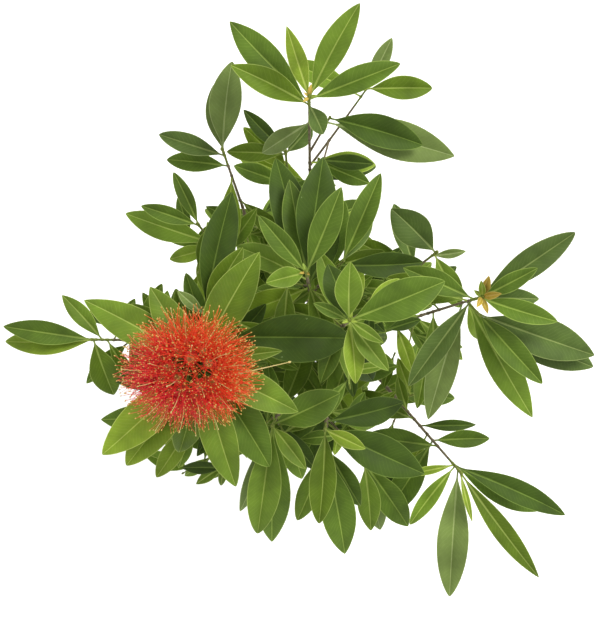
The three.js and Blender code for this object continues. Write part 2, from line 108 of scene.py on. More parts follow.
camera_data = bpy.data.cameras.new("camera")
camera_data.sensor_width = SENSOR
camera_data.lens = SENSOR * EYE_TO_PICTURE / PHOTO_SIDE
camera = shown("camera", camera_data)
camera.location = EYE * MM
scene.camera = camera

window_data = bpy.data.lights.new("window", "AREA")
window_data.shape = "SQUARE"
window_data.size = WINDOW["size"]
window_data.energy = WINDOW["power"]
window_data.color = WINDOW["colour"]
window = shown("window", window_data)
window.location = WINDOW["place"]
window_aim = Vector((0, 0, CROWN_HEIGHT)) - window.location
window.rotation_euler = window_aim.to_track_quat("-Z", "Y").to_euler()

world = bpy.data.worlds.new("daylight")
world.use_nodes = True
sky = {"Color": (1.0, 1.0, 1.0, 1.0), "Strength": DAYLIGHT}
fill(world.node_tree, world.node_tree.nodes["Background"], sky)
scene.world = world

half = FLOOR["size"] / 2
# It lies a little below the trunk's cut, so that the two faces don't coincide.
corners = [(x * half, y * half, -FLOOR["drop"]) for x, y in ((-1, -1), (1, -1), (1, 1), (-1, 1))]
floor_mesh = bpy.data.meshes.new("floor")
floor_mesh.from_pydata(corners, [], [(0, 1, 2, 3)])
floor = shown("floor", floor_mesh)
floor_paper, tree, shader = new_material("pale_floor")
place = put(tree, "ShaderNodeTexCoord").outputs["Object"]
mottle = spots(tree, place, FLOOR["spots"], FLOOR["detail"])
pale = mixed(tree, mottle, paint(246, 246, 245), paint(251, 251, 250))
surface = {"Base Color": pale, "Roughness": FLOOR["rough"], "Specular IOR Level": FLOOR["gloss"]}
fill(tree, shader, surface | {"Emission Color": pale, "Emission Strength": FLOOR["glow"]})
floor_mesh.materials.append(floor_paper)

# The trunk
# A short woody stem with a lobed root flare, cut flat at the ground, with grey-brown bark in
# fine lengthwise ridges. It leans a little to its fork, where the boughs leave it.
TRUNK = {
    "top": (3, 4, 66),
    "foot_radius": 7.5,
    "top_radius": 5.5,
    "flare": 4,
    "flare_height": 11,
    "lobes": 5,
    "lobe_depth": 0.35,
    "sides": 72,
    "steps": 80,
    "sample_sides": 15,
    "round_from": 0.88,  # the share of its height from which it rounds off under the fork
    "round_depth": 0.6,
}
BARK = {
    "relief": 0.3,
    "ridge_width": 1.9,
    "ridge_length": 11,
    "ridge_detail": 3.0,
    "ridge_roughness": 0.6,
    "bump": 0.6,
    "gloss": 0.25,
}
STREAKS = {
    "scale": (1400.0, 1400.0, 160.0),
    "detail": 5.0,
    "roughness": 0.65,
    "edges": (0.32, 0.68),
    "finish": (0.72, 0.92),
}
FLECKS = {"scale": (260.0, 260.0, 620.0), "edges": (0.26, 0.16), "share": 0.55}
TANGENT_STEP = 0.0001
LENGTH_STEPS = 200
FAR = 10.0  # in metres, past the whole shrub on every side


class Path:
    """A Bezier curve through space, kept as its control points."""

    def __init__(self, *controls):
        self.controls = [np.asarray(point, float) for point in controls]

    def point(self, t):
        """The place at a share of the curve, or the places at many shares."""
        shares = np.asarray(t, float)[..., None]
        points = self.controls
        while len(points) > 1:
            points = [a + (b - a) * shares for a, b in zip(points, points[1:])]
        return points[0]

    def tangent(self, t):
        """The curve's direction at a share of it, as a unit vector."""
        step = self.point(min(t + TANGENT_STEP, 1)) - self.point(max(t - TANGENT_STEP, 0))
        return step / np.linalg.norm(step)

    def length(self):
        """How long the curve is."""
        points = self.point(np.linspace(0, 1, LENGTH_STEPS + 1))
        return np.linalg.norm(np.diff(points, axis=0), axis=1).sum()

    def chord(self):
        """The straight distance from end to end."""
        return np.linalg.norm(self.controls[-1] - self.controls[0])


def maths(tree, operation, *values):
    """The result of one sum, as a socket."""
    return put(tree, "ShaderNodeMath", dict(enumerate(values)), operation=operation).outputs[0]


def scaled(tree, vector, size):
    """A vector made longer or shorter."""
    return put(tree, "ShaderNodeVectorMath", {0: vector, "Scale": size}, operation="SCALE").outputs[0]


def ranged(tree, value, found, wanted=(0.0, 1.0)):
    """A value carried over from one range to another, and held within it."""
    ends = {"From Min": found[0], "From Max": found[1], "To Min": wanted[0], "To Max": wanted[1]}
    return put(tree, "ShaderNodeMapRange", {"Value": value} | ends).outputs[0]


def bumps(tree, height, strength, depth):
    """The surface's normal over bumps of a height, from 0 to 1, and a depth in millimetres."""
    inputs = {"Height": height, "Strength": strength, "Distance": depth * MM}
    return put(tree, "ShaderNodeBump", inputs).outputs["Normal"]


def geometry_tree(name, inputs):
    """A node tree for growing a piece, with its group input and output and its named inputs."""
    tree = bpy.data.node_groups.new(name, "GeometryNodeTree")
    tree.interface.new_socket("Geometry", in_out="INPUT", socket_type="NodeSocketGeometry")
    for label, kind in inputs.items():
        tree.interface.new_socket(label, in_out="INPUT", socket_type=kind)
    tree.interface.new_socket("Geometry", in_out="OUTPUT", socket_type="NodeSocketGeometry")
    return tree, put(tree, "NodeGroupInput").outputs, put(tree, "NodeGroupOutput").inputs[0]


def grown(name, source, tree, values):
    """A piece that a node tree grows from a source mesh, turned into a plain mesh."""
    piece = shown(name, source)
    growth = piece.modifiers.new("growth", "NODES")
    growth.node_group = tree
    for item in tree.interface.items_tree:
        if item.in_out == "INPUT" and item.name in values:
            growth[item.identifier] = values[item.name]
    graph = bpy.context.evaluated_depsgraph_get()
    plain = bpy.data.meshes.new_from_object(piece.evaluated_get(graph), depsgraph=graph)
    piece.modifiers.remove(growth)
    piece.data = plain
    plain.name = name
    return piece


def named(tree, name, kind="FLOAT"):
    """An attribute of the mesh, as a socket."""
    return put(tree, "GeometryNodeInputNamedAttribute", {"Name": name}, data_type=kind).outputs["Attribute"]


def stored(tree, geometry, name, value, kind="FLOAT"):
    """The geometry with a value kept on its points."""
    inputs = {"Geometry": geometry, "Name": name, "Value": value}
    node = put(tree, "GeometryNodeStoreNamedAttribute", inputs, data_type=kind, domain="POINT")
    return node.outputs["Geometry"]


def swept(tree, line, sides, radius, thickness, ring_name=None):
    """A tube with closed ends along a line. Its ring's places may be kept on it under a name."""
    inputs = {"Resolution": sides, "Radius": radius}
    ring = put(tree, "GeometryNodeCurvePrimitiveCircle", inputs, mode="RADIUS").outputs["Curve"]
    if ring_name:
        round_place = put(tree, "GeometryNodeInputPosition").outputs[0]
        ring = stored(tree, ring, ring_name, round_place, "FLOAT_VECTOR")
    inputs = {"Curve": line, "Profile Curve": ring, "Scale": thickness, "Fill Caps": True}
    return put(tree, "GeometryNodeCurveToMesh", inputs).outputs["Mesh"]


def finished(tree, geometry, first, second, is_second):
    """The growth made real and smooth, in its first material, or its second where that is asked."""
    real = put(tree, "GeometryNodeRealizeInstances", {"Geometry": geometry}).outputs[0]
    smooth = put(tree, "GeometryNodeSetShadeSmooth", {"Geometry": real}).outputs[0]
    plain = put(tree, "GeometryNodeSetMaterial", {"Geometry": smooth, "Material": first}).outputs[0]
    inputs = {"Geometry": plain, "Selection": is_second, "Material": second}
    return put(tree, "GeometryNodeSetMaterial", inputs).outputs[0]


def make_limb_tree():
    """Wood round each centre line: a tube of its thickness, with root lobes and ridged bark."""
    inputs = {
        "Sides": "NodeSocketInt",
        "Relief": "NodeSocketFloat",
        "Ridge Width": "NodeSocketFloat",
        "Ridge Length": "NodeSocketFloat",
        "Lobes": "NodeSocketFloat",
        "Old Bark": "NodeSocketMaterial",
        "Young Bark": "NodeSocketMaterial",
    }
    tree, given, result = geometry_tree("limb", inputs)
    line = put(tree, "GeometryNodeMeshToCurve", {"Mesh": given["Geometry"]}).outputs["Curve"]
    run = put(tree, "GeometryNodeSplineParameter").outputs["Length"]
    line = stored(tree, line, "run", run)
    thickness = named(tree, "thickness")
    tube = swept(tree, line, given["Sides"], 1.0, thickness, "turn")
    off_axis = scaled(tree, named(tree, "turn", "FLOAT_VECTOR"), thickness)
    sides = put(tree, "ShaderNodeSeparateXYZ", {0: off_axis}).outputs
    grain = put(tree, "ShaderNodeCombineXYZ", {0: sides[0], 1: sides[1], 2: named(tree, "run")}).outputs[0]
    tube = stored(tree, tube, "grain", grain, "FLOAT_VECTOR")
    parts = put(tree, "ShaderNodeSeparateXYZ", {0: named(tree, "grain", "FLOAT_VECTOR")}).outputs
    across = maths(tree, "DIVIDE", parts[0], given["Ridge Width"])
    over = maths(tree, "DIVIDE", parts[1], given["Ridge Width"])
    along = maths(tree, "DIVIDE", parts[2], given["Ridge Length"])
    ridged = put(tree, "ShaderNodeCombineXYZ", {0: across, 1: over, 2: along}).outputs[0]
    ridges = spots(tree, ridged, 1.0, BARK["ridge_detail"], BARK["ridge_roughness"])
    height = maths(tree, "SUBTRACT", ridges, 0.5)
    depth = maths(tree, "MULTIPLY", maths(tree, "MULTIPLY", height, given["Relief"]), thickness)
    angle = maths(tree, "ARCTAN2", sides[1], sides[0])
    wave = maths(tree, "COSINE", maths(tree, "MULTIPLY", angle, given["Lobes"]))
    lobe = maths(tree, "MULTIPLY", wave, named(tree, "lobe"))
    normal = put(tree, "GeometryNodeInputNormal").outputs[0]
    offset = scaled(tree, normal, maths(tree, "ADD", depth, lobe))
    moved = put(tree, "GeometryNodeSetPosition", {"Geometry": tube, "Offset": offset}).outputs[0]
    spot = put(tree, "GeometryNodeInputPosition").outputs[0]
    ground = {0: spot, 1: (-FAR, -FAR, 0.0)}
    level = put(tree, "ShaderNodeVectorMath", ground, operation="MAXIMUM").outputs[0]
    grounded = put(tree, "GeometryNodeSetPosition", {"Geometry": moved, "Position": level}).outputs[0]
    is_young = maths(tree, "GREATER_THAN", named(tree, "youth"), 0.5)
    wood = finished(tree, grounded, given["Old Bark"], given["Young Bark"], is_young)
    tree.links.new(wood, result)
    return tree


def strand_mesh(name, strands):
    """Centre lines as a mesh of edges. A strand has its points, thickness, youth and lobe height."""
    points, edges, facts = [], [], {"thickness": [], "youth": [], "lobe": []}
    for strand in strands:
        count = len(strand["points"])
        edges += [(len(points) + i, len(points) + i + 1) for i in range(count - 1)]
        points += [tuple(point * MM) for point in strand["points"]]
        for fact, values in facts.items():
            values += list(np.broadcast_to(strand.get(fact, 0.0), count))
    mesh = bpy.data.meshes.new(name)
    mesh.from_pydata(points, edges, [])
    for fact, values in facts.items():
        scale = 1.0 if fact == "youth" else MM
        layer = mesh.attributes.new(fact, "FLOAT", "POINT")
        layer.data.foreach_set("value", np.asarray(values, np.float32) * scale)
    return mesh


def skin_group(name, inputs):
    """A shader node group that gives a colour, a roughness and a height, with its named inputs."""
    tree = bpy.data.node_groups.new(name, "ShaderNodeTree")
    for label, kind in inputs.items():
        tree.interface.new_socket(label, in_out="INPUT", socket_type="NodeSocket" + kind)
    for label, kind in (("Color", "Color"), ("Roughness", "Float"), ("Height", "Float")):
        tree.interface.new_socket(label, in_out="OUTPUT", socket_type="NodeSocket" + kind)
    return tree, put(tree, "NodeGroupInput").outputs


def make_bark_group():
    """Streaks along the grain, with pale flecks across them."""
    inputs = {"Grain": "Vector", "Dark": "Color", "Light": "Color", "Fleck": "Color"}
    tree, given = skin_group("bark streaks", inputs)
    stretch = put(tree, "ShaderNodeMapping", {"Vector": given["Grain"], "Scale": STREAKS["scale"]})
    streaks = spots(tree, stretch.outputs[0], 1.0, STREAKS["detail"], STREAKS["roughness"])
    sharp = ranged(tree, streaks, STREAKS["edges"])
    wood = mixed(tree, sharp, given["Dark"], given["Light"])
    squat = put(tree, "ShaderNodeMapping", {"Vector": given["Grain"], "Scale": FLECKS["scale"]})
    cells = put(tree, "ShaderNodeTexVoronoi", {"Vector": squat.outputs[0], "Scale": 1.0})
    flecks = ranged(tree, cells.outputs["Distance"], FLECKS["edges"])
    coat = mixed(tree, maths(tree, "MULTIPLY", flecks, FLECKS["share"]), wood, given["Fleck"])
    rough = ranged(tree, streaks, (0.0, 1.0), STREAKS["finish"])
    height = maths(tree, "ADD", sharp, flecks)
    put(tree, "NodeGroupOutput", {"Color": coat, "Roughness": rough, "Height": height})
    return tree


bark_group = make_bark_group()


def bark_material(name, dark, light, fleck, depth):
    """Bark over the wood's own grain: streaked, flecked and finely ridged."""
    material, tree, shader = new_material(name)
    grain = put(tree, "ShaderNodeAttribute", attribute_name="grain").outputs["Vector"]
    skin = {"Grain": grain, "Dark": dark, "Light": light, "Fleck": fleck}
    bark = put(tree, "ShaderNodeGroup", skin, node_tree=bark_group).outputs
    ridges = bumps(tree, bark["Height"], BARK["bump"], depth)
    surface = {"Base Color": bark["Color"], "Roughness": bark["Roughness"], "Normal": ridges}
    fill(tree, shader, surface | {"Specular IOR Level": BARK["gloss"]})
    return material


colours = (paint(66, 52, 42), paint(128, 110, 90), paint(150, 138, 118))
trunk_bark = bark_material("trunk_bark", *colours, depth=0.5)
limb_tree = make_limb_tree()


def trunk_girth(t):
    """The trunk's radius between its root lobes, and how far the lobes stand out."""
    flare = TRUNK["flare"] * np.exp(-t * TRUNK["top"][2] / TRUNK["flare_height"])
    plain = TRUNK["foot_radius"] + (TRUNK["top_radius"] - TRUNK["foot_radius"]) * t
    return plain + flare, flare * TRUNK["lobe_depth"]


def wood_piece(name, strands, sides, old, young):
    """A piece of wood grown round centre lines, with its bark."""
    values = {
        "Sides": sides,
        "Relief": BARK["relief"],
        "Ridge Width": BARK["ridge_width"] * MM,
        "Ridge Length": BARK["ridge_length"] * MM,
        "Lobes": TRUNK["lobes"],
        "Old Bark": old,
        "Young Bark": young,
    }
    return grown(name, strand_mesh(name, strands), limb_tree, values)


trunk_path = Path((0, 0, 0), (0, 0, TRUNK["top"][2] / 2), TRUNK["top"])
trunk_places = np.linspace(0, 1, TRUNK["steps"] + 1)
girth, lobes = trunk_girth(trunk_places)
near_top = np.clip((trunk_places - TRUNK["round_from"]) / (1 - TRUNK["round_from"]), 0, 1)
rounding = 1 - TRUNK["round_depth"] * near_top**3
trunk_strand = {"points": trunk_path.point(trunk_places), "thickness": girth * rounding, "lobe": lobes}
trunk = wood_piece("trunk_bark", [trunk_strand], TRUNK["sides"], trunk_bark, trunk_bark)
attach(trunk, "root")
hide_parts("trunk")

# The boughs
# Each is one slender limb of living wood that leaves the trunk or another bough at a swollen
# collar and narrows to the point where its shoot takes over.
BOUGH = {"tip_radius": 1.4, "climb": 0.9, "handle": 0.35, "sides": 26, "step": 1.4, "sample_sides": 6}
# A bough starts narrow inside its parent and opens out to a collar that leans into the crotch.
COLLAR = {"swell": 0.42, "reach": 6.5, "start": 0.75, "open": 0.5}
JOINT_GAP = 0.3  # how far before its shoot's root a bough ends
STEM = {"root_radius": 1.2, "tip_radius": 0.8, "sides": 4, "sweep": 0.1, "sag": 0.15}
TWIG = {"root_radius": 0.9, "tip_radius": 0.6, "sides": 3, "sweep": 0.1, "sag": 0.2}

# A bough leaves its parent at a share of the parent's length and ends at the shoot's root, where
# the stem starts and runs to its bud. A leaf is its distance below the bud, its bearing from +X,
# length and rise, and its width where that is narrow or broad for its length. The tones give one
# letter a leaf: y young yellow-green, b bright, m mid, d dark, o olive, g grey-green, p pale
# grey-green, n new orange-brown. Given leaf by leaf, they are partly each leaf's own colour and
# partly painted light and shade: the lighter letters on lit leaves, d partly painted shade on
# leaves in shadow, and g and p partly a painted sheen.
SHOOTS = [
    {
        "name": "leader",
        "bough": {"from": "trunk", "at": 0.93, "radius": 3.6, "climb": 6},
        "root": (5, 9, 195),
        "bud": (12, 23, 412),
        "tones": "bbbmymd",
        "leaves": [
            (1, -37, 31, 42, 9), (3, 93, 40, 30, 19), (4, -55, 43, 26), (5, 21, 68, 18, 27),
            (7, -80, 42, 20), (9, 152, 26, 16), (12, 106, 40, 8, 20),
        ],
        "twigs": [],
    },
    {
        "name": "centre",
        "bough": {"from": "leader", "at": 0.2, "radius": 2.6},
        "root": (-9, 27, 190),
        "bud": (-16, 54, 400),
        "tones": "bmmdmd",
        "leaves": [
            (1, -166, 30, 35, 15), (2, 129, 50, 26), (4, 66, 62, 24, 20), (14, 83, 80, 10, 27),
            (20, 101, 66, 4), (28, 104, 86, 2),
        ],
        "twigs": [
            {
                "at": 0.45,
                "bud": (9, 62, 350),
                "tones": "mgd",
                "leaves": [(2, 66, 66, 14, 18), (5, 58, 46, 0), (9, -2, 58, 2)],
            },
        ],
    },
    {
        "name": "north",
        "bough": {"from": "trunk", "at": 0.7, "radius": 3.2},
        "root": (-12, 84, 185),
        "bud": (-14, 169, 395),
        "tones": "ybmmop",
        "leaves": [
            (1, 110, 56, 45, 13), (2, 65, 71, 25, 20), (4, 20, 65, 22, 19), (9, 137, 78, 4, 22),
            (13, 152, 60, 26, 19), (42, -150, 50, -30, 15),
        ],
        "twigs": [
            {
                "at": 0.6,
                "bud": (0, 159, 352),
                "tones": "dpg",
                "leaves": [(1, -13, 66, 12, 24), (8, -13, 92, 2, 28), (1, 185, 20, 30, 15)],
            },
            {
                "at": 0.5,
                "bud": (26, 180, 352),
                "tones": "po",
                "leaves": [(2, 63, 38, 15, 12), (3, 2, 45, 12, 18)],
            },
            {
                "at": 0.3,
                "bud": (-7, 134, 305),
                "tones": "dm",
                "leaves": [(1, -5, 40, 5), (5, -24, 42, -4)],
            },
        ],
    },
    {
        "name": "north_inner",
        "bough": {"from": "north", "at": 0.35, "radius": 2.1},
        "root": (-22, 54, 145),
        "bud": (-30, 139, 310),
        "tones": "domg",
        "leaves": [(2, 137, 42, 12), (4, 176, 42, 4), (52, 160, 44, 2), (3, 45, 28, 25, 15)],
        "twigs": [],
    },
    {
        "name": "northwest",
        "bough": {"from": "trunk", "at": 0.86, "radius": 2.8},
        "root": (-46, 56, 155),
        "bud": (-73, 139, 330),
        "tones": "ppgm",
        "leaves": [(1, 88, 61, 18, 24), (5, 102, 48, 6), (10, 163, 48, 10), (27, 172, 44, 6)],
        "twigs": [],
    },
    {
        "name": "west_upper",
        "bough": {"from": "northwest", "at": 0.45, "radius": 2},
        "root": (-53, 36, 145),
        "bud": (-91, 89, 300),
        "tones": "mmby",
        "leaves": [(1, 112, 41, 22), (3, 160, 43, 16), (44, 163, 68, 6, 20), (52, -165, 38, -10)],
        "twigs": [],
    },
    {
        "name": "flower",
        "bough": {"from": "trunk", "at": 0.63, "radius": 3.2},
        "root": (-44, -2, 175),
        "bud": (-90, -7, 372),
        "tones": "boobybbymogd",
        "leaves": [
            (6, 120, 61, 20), (7, 12, 58, 14, 12), (8, 64, 87, 12, 29), (9, -23, 75, 12),
            (11, -134, 92, 8, 28), (12, 147, 90, 8, 26), (14, -76, 88, 6, 26), (18, -124, 88, 2),
            (20, -53, 86, 0), (16, -100, 76, 0, 24), (26, -86, 74, -4, 22), (24, -168, 66, -4, 22),
        ],
        "twigs": [
            {
                "at": 0.7,
                "bud": (-85, 30, 336),
                "tones": "dop",
                "leaves": [(2, 80, 84, 10), (4, 64, 54, 18), (6, 143, 26, 10)],
            },
            {
                "at": 0.75,
                "bud": (-68, 12, 350),
                "tones": "d",
                "leaves": [(2, 0, 84, 8, 36)],
            },
        ],
    },
    {
        "name": "far_west",
        "bough": {"from": "flower", "at": 0.5, "radius": 2.1},
        "root": (-94, 5, 150),
        "bud": (-169, 8, 250),
        "tones": "moybom",
        "leaves": [
            (1, 172, 66, 10, 18), (1, -74, 48, -15, 22), (4, -175, 68, 2, 20), (12, 128, 44, 8, 14),
            (18, -60, 40, -8), (26, 60, 34, 5),
        ],
        "twigs": [],
    },
    {
        "name": "southwest",
        "bough": {"from": "flower", "at": 0.3, "radius": 2.1},
        "root": (-46, -24, 140),
        "bud": (-98, -52, 270),
        "tones": "ybm",
        "leaves": [(2, -121, 46, 6), (3, -104, 36, 0), (6, 174, 68, 4)],
        "twigs": [
            {
                "at": 0.5,
                "bud": (-74, -87, 230),
                "tones": "doo",
                "leaves": [(2, 178, 33, 5), (5, -150, 28, 0), (8, -105, 22, -15)],
            },
        ],
    },
    {
        "name": "east",
        "bough": {"from": "trunk", "at": 0.78, "radius": 3.2},
        "root": (42, 16, 180),
        "bud": (100, 38, 388),
        "tones": "nmmggmgyp",
        "leaves": [
            (0, 82, 20, 55), (3, 26, 43, 28), (5, -21, 54, 22, 16), (9, 34, 78, 12, 21), (14, 2, 45, 2),
            (18, 155, 52, 10), (24, -127, 72, 8, 18), (32, -70, 40, -30), (44, -107, 88, -4, 21),
        ],
        "twigs": [
            {
                "at": 0.85,
                "bud": (100, 26, 369),
                "tones": "ggmb",
                "leaves": [
                    (1, -21, 84, 6, 28), (3, -28, 92, -3, 26), (5, -50, 66, 14, 19), (18, -63, 93, 2, 22),
                ],
            },
        ],
    },
    {
        "name": "northeast",
        "bough": {"from": "east", "at": 0.4, "radius": 2.1},
        "root": (34, 34, 155),
        "bud": (74, 69, 318),
        "tones": "gmpbg",
        "leaves": [
            (2, 132, 44, 18, 25), (3, 20, 14, 35), (12, 5, 24, 10, 7), (6, -62, 42, 0, 18), (60, 106, 50, 12),
        ],
        "twigs": [],
    },
    {
        "name": "southeast",
        "bough": {"from": "trunk", "at": 0.5, "radius": 3.1},
        "root": (36, -18, 150),
        "bud": (92, -84, 300),
        "tones": "yopdbymmmmdo",
        "leaves": [
            (1, -79, 36, 20, 5), (3, -55, 97, 4, 15), (6, -95, 92, 6, 24), (12, -20, 88, 8, 18),
            (12, -131, 54, 4, 13), (14, -168, 34, 14, 7), (17, -33, 78, -6, 18), (48, 172, 54, 8, 20),
            (58, 5, 42, 8, 14), (58, -120, 70, -6, 22), (84, 0, 42, 10, 9), (108, 110, 28, 20),
        ],
        "twigs": [],
    },
    {
        "name": "south",
        "bough": {"from": "trunk", "at": 0.9, "radius": 2.8},
        "root": (4, -22, 160),
        "bud": (-3, -52, 342),
        "tones": "yodd",
        "leaves": [(1, -25, 32, 30), (5, -91, 66, 8), (8, -26, 76, 12, 28), (30, 10, 60, -4)],
        "twigs": [
            {
                "at": 0.6,
                "bud": (-2, -69, 312),
                "tones": "mbm",
                "leaves": [(1, -78, 80, -3, 25), (4, -109, 58, -8), (6, -60, 52, -8)],
            },
        ],
    },
    {
        "name": "south_west",
        "bough": {"from": "south", "at": 0.3, "radius": 2.1},
        "root": (-18, -20, 155),
        "bud": (-39, -49, 345),
        "tones": "bmbmmpm",
        "leaves": [
            (1, -50, 39, 30), (4, 23, 51, 14, 25), (6, -98, 84, 8, 25), (14, -92, 98, 0, 26), (16, 95, 42, 5),
            (20, -107, 80, -8, 14), (26, 16, 40, 4),
        ],
        "twigs": [],
    },
    {
        "name": "south_low",
        "bough": {"from": "southeast", "at": 0.35, "radius": 2},
        "root": (15, -38, 125),
        "bud": (26, -81, 262),
        "tones": "bmp",
        "leaves": [(2, -81, 50, 0), (4, -53, 62, -2), (7, -75, 60, -8)],
        "twigs": [],
    },
]


def stem_path(root, bud, style):
    """The curve of a stem or twig: it sweeps outwards first and turns up to its bud."""
    root, bud = np.asarray(root, float), np.asarray(bud, float)
    middle = (root + bud) / 2
    middle[:2] += style["sweep"] * (bud - root)[:2]
    middle[2] -= style["sag"] * math.hypot(*(bud - root)[:2])
    return Path(root, middle, bud)


def bough_path(shoot, parent):
    """The curve of a bough from its parent's axis to just before its shoot's root."""
    start = parent.point(shoot["bough"]["at"])
    arrival = shoot["stem"].tangent(0)
    tip = np.asarray(shoot["root"], float) - JOINT_GAP * arrival
    departure = (tip - start) * (1, 1, 0)
    departure /= np.linalg.norm(departure)
    departure[2] = shoot["bough"].get("climb", BOUGH["climb"])
    departure /= np.linalg.norm(departure)
    handle = BOUGH["handle"] * np.linalg.norm(tip - start)
    return Path(start, start + handle * departure, tip - handle * arrival, tip)


def between(pair, share):
    """The value a share of the way from the first of a pair to the second."""
    return pair[0] + (pair[1] - pair[0]) * share


def bough_radius(bough, share):
    """A bough's radius at a share of its length, without its collar."""
    return between((bough["radius"], BOUGH["tip_radius"]), share)


def parent_radius(bough):
    """The radius of the trunk or bough that a bough leaves, where it leaves it."""
    if bough["from"] == "trunk":
        return trunk_girth(bough["at"])[0]
    return bough_radius(boughs[bough["from"]], bough["at"])


colours = (paint(84, 70, 56), paint(148, 132, 108), paint(172, 158, 134))
bough_bark = bark_material("bough_bark", *colours, depth=0.35)
paths = {"trunk": trunk_path}
boughs = {shoot["name"]: shoot["bough"] for shoot in SHOOTS}
for shoot in SHOOTS:
    shoot["stem"] = stem_path(shoot["root"], shoot["bud"], STEM)
    for twig in shoot["twigs"]:
        twig["stem"] = stem_path(shoot["stem"].point(twig["at"]), twig["bud"], TWIG)
    path = bough_path(shoot, paths[shoot["bough"]["from"]])
    paths[shoot["name"]] = path
    steps = math.ceil(path.length() / BOUGH["step"])
    places = np.linspace(0, 1, steps + 1)
    run = places * path.length()
    seat = parent_radius(shoot["bough"])
    collar = 1 + COLLAR["swell"] * np.exp(-(((run - seat) / COLLAR["reach"]) ** 2))
    sunk = COLLAR["start"] * seat + COLLAR["open"] * run
    plain = bough_radius(shoot["bough"], places)
    thickness = np.minimum(plain * collar, sunk)
    centre = path.point(places)
    along = np.gradient(centre, axis=0)
    along /= np.linalg.norm(along, axis=1, keepdims=True)
    to_crotch = (0, 0, 1) - along[:, 2:] * along
    strand = {"points": centre + (thickness - plain)[:, None] * to_crotch, "thickness": thickness}
    name = "bough_" + shoot["name"]
    bough = wood_piece(name + "_bark", [strand], BOUGH["sides"], bough_bark, bough_bark)
    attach(bough, "root")
    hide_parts(name)

# How the shoots grow
# The listed leaves lie as in the photograph. Older ones follow the golden angle down each stem,
# beneath the listed ones or in the crown's heart, and finer side twigs fill what room is left.
LEAF = {
    "stalk": 0.12,
    "stalk_radius": 0.7,
    "width_ratio": (0.29, 0.36),
    "droop": (20, 32),
    "roll": (-13, 13),
    "fold": (8, 18),
    "sway": (-9, 9),
    "draws": 5,
    "widest": 1.1,
    "taper": 1.1,
    "clear_from": 0.2,
}
LIFTS = (0, 6, -6, 12, -12, 18, -18, 26, -26)  # degrees a leaf may turn up or down to find room
CLEARANCE = 3  # between a leaf and all that was placed before it
SAMPLE_STEP = 2.5
OLDER = {
    "spacing": 13,
    "turn": 137.5,
    "first": 10,
    "deepest": 30,
    "length": (42, 60),
    "rise": (-12, 26),
    "bare_foot": 8,
}
# The crown's heart and its light gaps, each an x, a y and a radius, as seen on a level plane.
HEART = {"centre": (-18, 12), "radius": 92, "height": 300}
GAPS = (
    (8, 66, 5), (39, 5, 5), (32, -23, 6), (34, -56, 6),
    (4, -77, 6), (23, -88, 6), (-56, -75, 6), (-20, 68, 3),
)
SHADE_CELL = 4
SHADED_SHARE = 0.9
SEED = {"first": 101, "step": 37}
RANDOM = {"multiplier": 48271, "modulus": 2147483647}
HEAD = {"centre": (-90, -7, 386), "radius": 30, "height": 16, "around": 48, "down": 24}
HEAD_COVER = 42  # how far the head's stamens hide what grows beneath them
NARROW = 0.83  # of the head's width from left to right
FINE = {"root_radius": 0.7, "tip_radius": 0.45, "sides": 3, "sweep": 0.1, "sag": 0.2}
SIDE_TWIG = {
    "spacing": 9,
    "first": 20,
    "bare_foot": 6,
    "length": (24, 46),
    "rise": (5, 62),
    "first_leaf": 1,
    "leaf_turn": 40,
    "leaf_spacing": 6,
    "leaf_length": (25, 46),
    "leaf_rise": (-10, 35),
}
OLDER_TONES = "mbodyomb"  # dealt out in turn
# One small leaf high on its shoot's stem is placed last, when the side twigs have grown.
LAST_LEAF = {"shoot": "north", "listed": (13, 300, 22, 0, 14), "tone": "g"}


def seeded(seed):
    """A repeatable stream of numbers from 0 to 1."""
    state = seed

    def draw():
        nonlocal state
        state = state * RANDOM["multiplier"] % RANDOM["modulus"]
        return state / RANDOM["modulus"]

    return draw


def radius_along(style, t):
    """The radius of a stem or twig at a share of its length."""
    return between((style["root_radius"], style["tip_radius"]), t)


def limb_samples(path, radius_at, sides):
    """Points on a limb's surface and along its axis, close enough together to test for room."""
    count = math.ceil(path.length() / SAMPLE_STEP)
    places = np.linspace(0, 1, count + 1)
    axis = path.point(places)
    angles = 2 * np.pi * np.arange(sides) / sides
    across = np.array([1.0, 0.0, 0.0])
    points = [axis]
    for t, centre in zip(places, axis):
        along = path.tangent(t)
        across = across - along * (across @ along)
        across /= np.linalg.norm(across)
        other = np.cross(along, across)
        radius = np.broadcast_to(radius_at(t, angles), angles.shape)
        ring = np.outer(radius * np.cos(angles), across) + np.outer(radius * np.sin(angles), other)
        points.append(centre + ring)
    return np.concatenate(points)


taken = []


def claim(points):
    """Marks the space round these points as taken, and keeps the box that they lie in."""
    taken.append((points, points.min(axis=0), points.max(axis=0)))


def is_clear(points):
    """Whether every point keeps the clearance to all the space that is taken."""
    low, high = points.min(axis=0) - CLEARANCE, points.max(axis=0) + CLEARANCE
    for others, bottom, top in taken:
        if np.all(bottom < high) and np.all(top > low):
            near = others[np.all((others > low) & (others < high), axis=1)]
            if len(near) and ((points[:, None] - near[None]) ** 2).sum(axis=2).min() < CLEARANCE**2:
                return False
    return True


def make_leaf(base, bearing, length, rise, width, draw):
    """One leaf: its midrib leaves the stem at its rise, droops to its tip and bends sideways."""
    return {
        "base": base,
        "length": length,
        "bearing": math.radians(bearing),
        "rise": math.radians(rise),
        "droop": math.radians(between(LEAF["droop"], draw[0])),
        "roll": math.radians(between(LEAF["roll"], draw[1])),
        "fold": math.radians(between(LEAF["fold"], draw[2])),
        "half_width": (width or length * between(LEAF["width_ratio"], draw[3])) / 2,
        "sway": math.radians(between(LEAF["sway"], draw[4])),
        "shade": draw[0],
        "wave": draw[1],
        "blunt": draw[2],
    }


